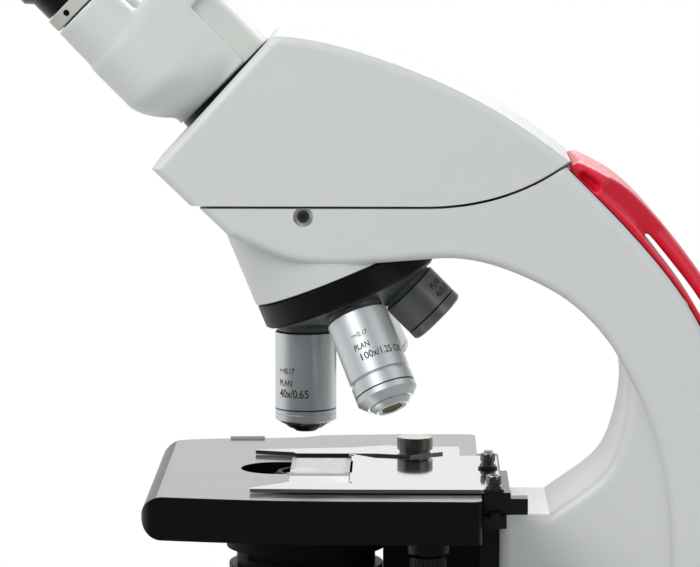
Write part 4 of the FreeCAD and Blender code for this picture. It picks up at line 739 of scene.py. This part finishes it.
def straight_scale(name, count, pitch, width, length, ink, body, place, towards, up):
    """Strokes side by side, centred on a place."""
    scale = stroke(name, width, length)
    row = scale.modifiers.new("row", "ARRAY")
    row.count = count
    row.use_relative_offset = False
    row.use_constant_offset = True
    row.constant_offset_displace = (pitch * mm, 0, 0)
    bpy.ops.object.modifier_apply(modifier="row")
    bpy.ops.object.mode_set(mode="EDIT")
    bpy.ops.mesh.select_all(action="SELECT")
    bpy.ops.transform.translate(value=(-(count - 1) / 2 * pitch * mm, 0, 0))
    bpy.ops.object.mode_set(mode="OBJECT")
    set_down(scale, place, towards, up)
    fit(scale, ink, body)


def round_scale(name, count, angle, radius, width, length, ink, body, place, towards, up):
    """Strokes round a face, each pointing at the middle, over an angle in degrees."""
    scale = stroke(name, width, length)
    bpy.ops.object.mode_set(mode="EDIT")
    bpy.ops.mesh.select_all(action="SELECT")
    bpy.ops.transform.translate(value=(0, radius * mm, 0))
    bpy.ops.mesh.spin(steps=count - 1, dupli=True, angle=math.radians(angle), center=(0, 0, 0),
                      axis=(0, 0, 1))
    bpy.ops.object.mode_set(mode="OBJECT")
    set_down(scale, place, towards, up)
    fit(scale, ink, body)

# %% [markdown]
# The rail at the back of the stage carries a stroke every two millimetres, and every tenth
# millimetre has a longer one.
# %% Scale of the rail
rail_low, rail_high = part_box("slide_rail")
rail_height = (rail_low[2] + rail_high[2]) / 2 - 0.8 * mm
scale_middle = Vector((rail_high[0] + 0.02 * mm, 10 * mm, rail_height))
straight_scale("rail_scale", 41, 2.0, 0.22, 2.6, white_ink, "stage", scale_middle, (1, 0, 0),
               (0, 0, 1))
straight_scale("rail_scale_tens", 9, 10.0, 0.3, 4.0, white_ink, "stage", scale_middle, (1, 0, 0),
               (0, 0, 1))
print("middle of the scale:", [round(value, 4) for value in scale_middle])

# %% [markdown]
# The lamp dial has a row of strokes on the housing round it, from dark to bright, and the rocker
# carries the marks for on and off. These say the same on instruments of every make.
# %% Marks on the base
ink_gap = 0.03 * mm
to_user = Vector((0, -1, 0))
first_stroke = Vector((-1, 0, -1)).normalized()
dial_middle = middle("brightness_dial")
wall_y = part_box("base_housing")[0][1] - ink_gap
dial_face = Vector((dial_middle.x, wall_y, dial_middle.z))
round_scale("lamp_scale", 11, -270, 13.0, 0.5, 1.8, black_ink, "stand", dial_face, to_user,
            first_stroke)
dial_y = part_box("brightness_dial")[0][1] - ink_gap
pointer = stroke("dial_pointer", 0.9, 5.0)
bpy.ops.object.mode_set(mode="EDIT")
bpy.ops.mesh.select_all(action="SELECT")
bpy.ops.transform.translate(value=(0, 4.5 * mm, 0))
bpy.ops.object.mode_set(mode="OBJECT")
set_down(pointer, (dial_middle.x, dial_y, dial_middle.z), to_user, first_stroke)
fit(pointer, white_ink, "dial")

switch_marks = (("switch_on", "I", 0.7, -5.0), ("switch_off", "O", 3.0, 5.0))
for name, words, width, side in switch_marks:
    at = middle("power_switch") + Vector((side * mm, -10 * mm, 0))
    lettering(name, words, width, "power_switch", "switch", white_ink, at, to_user,
              Vector((0, 0, 1)))
print("marks on the base:", 2 + len(switch_marks))

# %% [markdown]
# An eyepiece says on its upper side how much it magnifies and how wide its field is.
# %% Marks on the eyepieces
above_middle, in_front = 13 * mm, 25 * mm
for side, tube in (("right", eye_tube_right), ("left", eye_tube_left)):
    along = (middle(side + "_eyepiece") - tube).dot(fold_axis)
    at = tube + fold_axis * (along + above_middle) + fold_up * in_front
    lettering(side + "_eyepiece_words", "10x/20", 13.0, side + "_eyepiece", side + "_arm",
              white_ink, at, fold_up, fold_axis)
    print(side, "eyepiece marked", round(along, 4), "m along its tube")

# %% [markdown]
# The near end of a slide is frosted, so that it can be written on, and a thin cover glass lies
# over the specimen. Both are flat tablets. A dried smear of the specimen is turned like the round
# pieces.
# %% Details of the slide
def tablet(name, low, high, round_by):
    """A thin flat piece between two places, with its four upright edges rounded."""
    low, high = Vector(low) * mm, Vector(high) * mm
    piece = fresh("cube", name, size=1)
    bpy.ops.transform.resize(value=tuple(high - low))
    bpy.ops.object.transform_apply(location=True, rotation=True, scale=True)
    choose(piece, lambda at: True)
    upright = [edge for edge in bmesh.from_edit_mesh(piece.data).edges
               if abs(edge.verts[0].co.z - edge.verts[1].co.z) > 0.9 * (high.z - low.z)]
    bpy.ops.mesh.select_all(action="DESELECT")
    bpy.ops.mesh.select_mode(type="EDGE")
    for edge in upright:
        edge.select = True
    bpy.ops.mesh.bevel(offset=round_by * mm, segments=5)
    bpy.ops.mesh.select_mode(type="VERT")
    bpy.ops.object.mode_set(mode="OBJECT")
    set_down(piece, (low + high) / 2, (0, 0, 1), (0, 1, 0))
    return piece


slide_low, slide_high = [Vector(corner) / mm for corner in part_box("specimen_slide")]
margin, frosted_length = 0.2, 21
frosted = finish("frosted_end", srgb(240, 241, 240), 0.3, grain=2600, bump=0.000003, coat=0.8,
                 coat_rough=0.05)
end_patch = tablet("slide_frosted_end", (slide_low.x + margin, slide_low.y + margin, slide_high.z),
                   (slide_high.x - margin, slide_low.y + frosted_length, slide_high.z + 0.02), 0.3)
fit(end_patch, frosted, "slide_carriage")
smear = lathed("specimen_smear", [
    (5.6, 0.0), (5.7, 0.008), (5.2, 0.016), (3.0, 0.02), (0.3, 0.02)],
    Vector((slide_low.x + 14, 6, slide_high.z + 0.002)) * mm, (0, 0, 1), 48)
dried = finish("dried_specimen", srgb(186, 190, 190), 0.5, grain=900, drift=0.2, bump=0.000004)
fit(smear, dried, "slide_carriage")
cover = tablet("cover_glass", (slide_low.x + 2, slide_low.y + 27, slide_high.z + 0.025),
               (slide_high.x - 2, slide_high.y - 5, slide_high.z + 0.05), 0.2)
fit(cover, glass("thin_glass", (0.98, 1.0, 0.99)), "slide_carriage")
print("slide", round(slide_high.x - slide_low.x, 1), "by", round(slide_high.y - slide_low.y, 1),
      "mm")

# %% [markdown]
# Small slots in the holder give room for the edge of the glass. They are not cut: each is a
# dull black tablet of painted shade, for the dark inside of the slot, a fiftieth of a millimetre
# above the sheet. A low stop stands at the stage's far edge.
# %% Slots and stop
# Near black with no highlight: painted shade in place of the inside of each slot.
painted_opening_shade = finish("painted_opening_shade", srgb(5, 5, 6), 0.9, grain=2600, bump=0.000006,
                       specular=0.0)
slots = (("holder_slot_side", (-12.2, -23.8), (-11.2, 7.2)),
         ("holder_slot_front", (-12.0, -50.6), (-10.8, -48.8)),
         ("holder_slot_corner", (-12.3, 21.8), (-11.0, 24.4)),
         ("holder_slot_back", (1.0, 45.2), (6.8, 46.8)))
for name, low, high in slots:
    mark = tablet(name, low + (holder_top / mm - 0.1,), high + (holder_top / mm + 0.02,), 0.4)
    fit(mark, painted_opening_shade, "slide_carriage")
far_stop = tablet("stage_far_stop", (-68.9, 82.6, stage_top / mm - 0.1),
                  (-53.1, 84.0, stage_top / mm + 1.1), 0.3)
fit(far_stop, beige, "stage")
print("slots:", len(slots))

# %% [markdown]
# A small grub screw locks the eyepiece in its collar. It sits below the middle of the collar's
# side.
# %% Grub screw
collar = middle("right_eye_collar")
collar_radius, slant = 14.58 * mm, math.radians(21.3)
way_out = Vector((0, -math.cos(slant), 0)) - fold_up * math.sin(slant)
hole = collar + way_out * collar_radius
grub = lathed("collar_grub_screw", [
    (1.35, -0.6), (1.35, 0.16), (0.8, 0.16), (0.75, 0.05), (0.1, 0.05)], hole, way_out, 24)
fit(grub, deep_black, "right_arm")
print("grub screw at", [round(value, 4) for value in hole])

# %% [markdown]
# The table is a pale disc that fades out into the white, so that the object keeps its own soft
# shadow and the picture has no horizon.
# %% Table
bpy.ops.object.select_all(action="DESELECT")
table_radius, fade_start, fade_end = 1.2, 0.34, 0.56
bpy.ops.mesh.primitive_circle_add(vertices=96, radius=table_radius, fill_type="NGON",
                                  location=(0, 0, 0))
table = bpy.context.object
table.name = "table"
paper = bpy.data.materials.new("table_paper")
paper.use_nodes = True
tree = paper.node_tree
tree.nodes.clear()
place = node(tree, "TexCoord", {}, {}, "Object")
distance = node(tree, "VectorMath", {"operation": "LENGTH"}, {0: place}, "Value")
fade = node(tree, "MapRange", {"interpolation_type": "SMOOTHSTEP"}, {
    "Value": distance, "From Min": fade_start, "From Max": fade_end, "To Min": 0.0,
    "To Max": 1.0})
pale = node(tree, "BsdfDiffuse", {}, {"Color": (0.9, 0.9, 0.9, 1)})
clear = node(tree, "BsdfTransparent", {}, {})
both = node(tree, "MixShader", {}, {0: fade, 1: pale, 2: clear})
output = tree.nodes.new("ShaderNodeOutputMaterial")
tree.links.new(both.socket, output.inputs["Surface"])
table.data.materials.append(paper)
print("table radius", table_radius, "m")
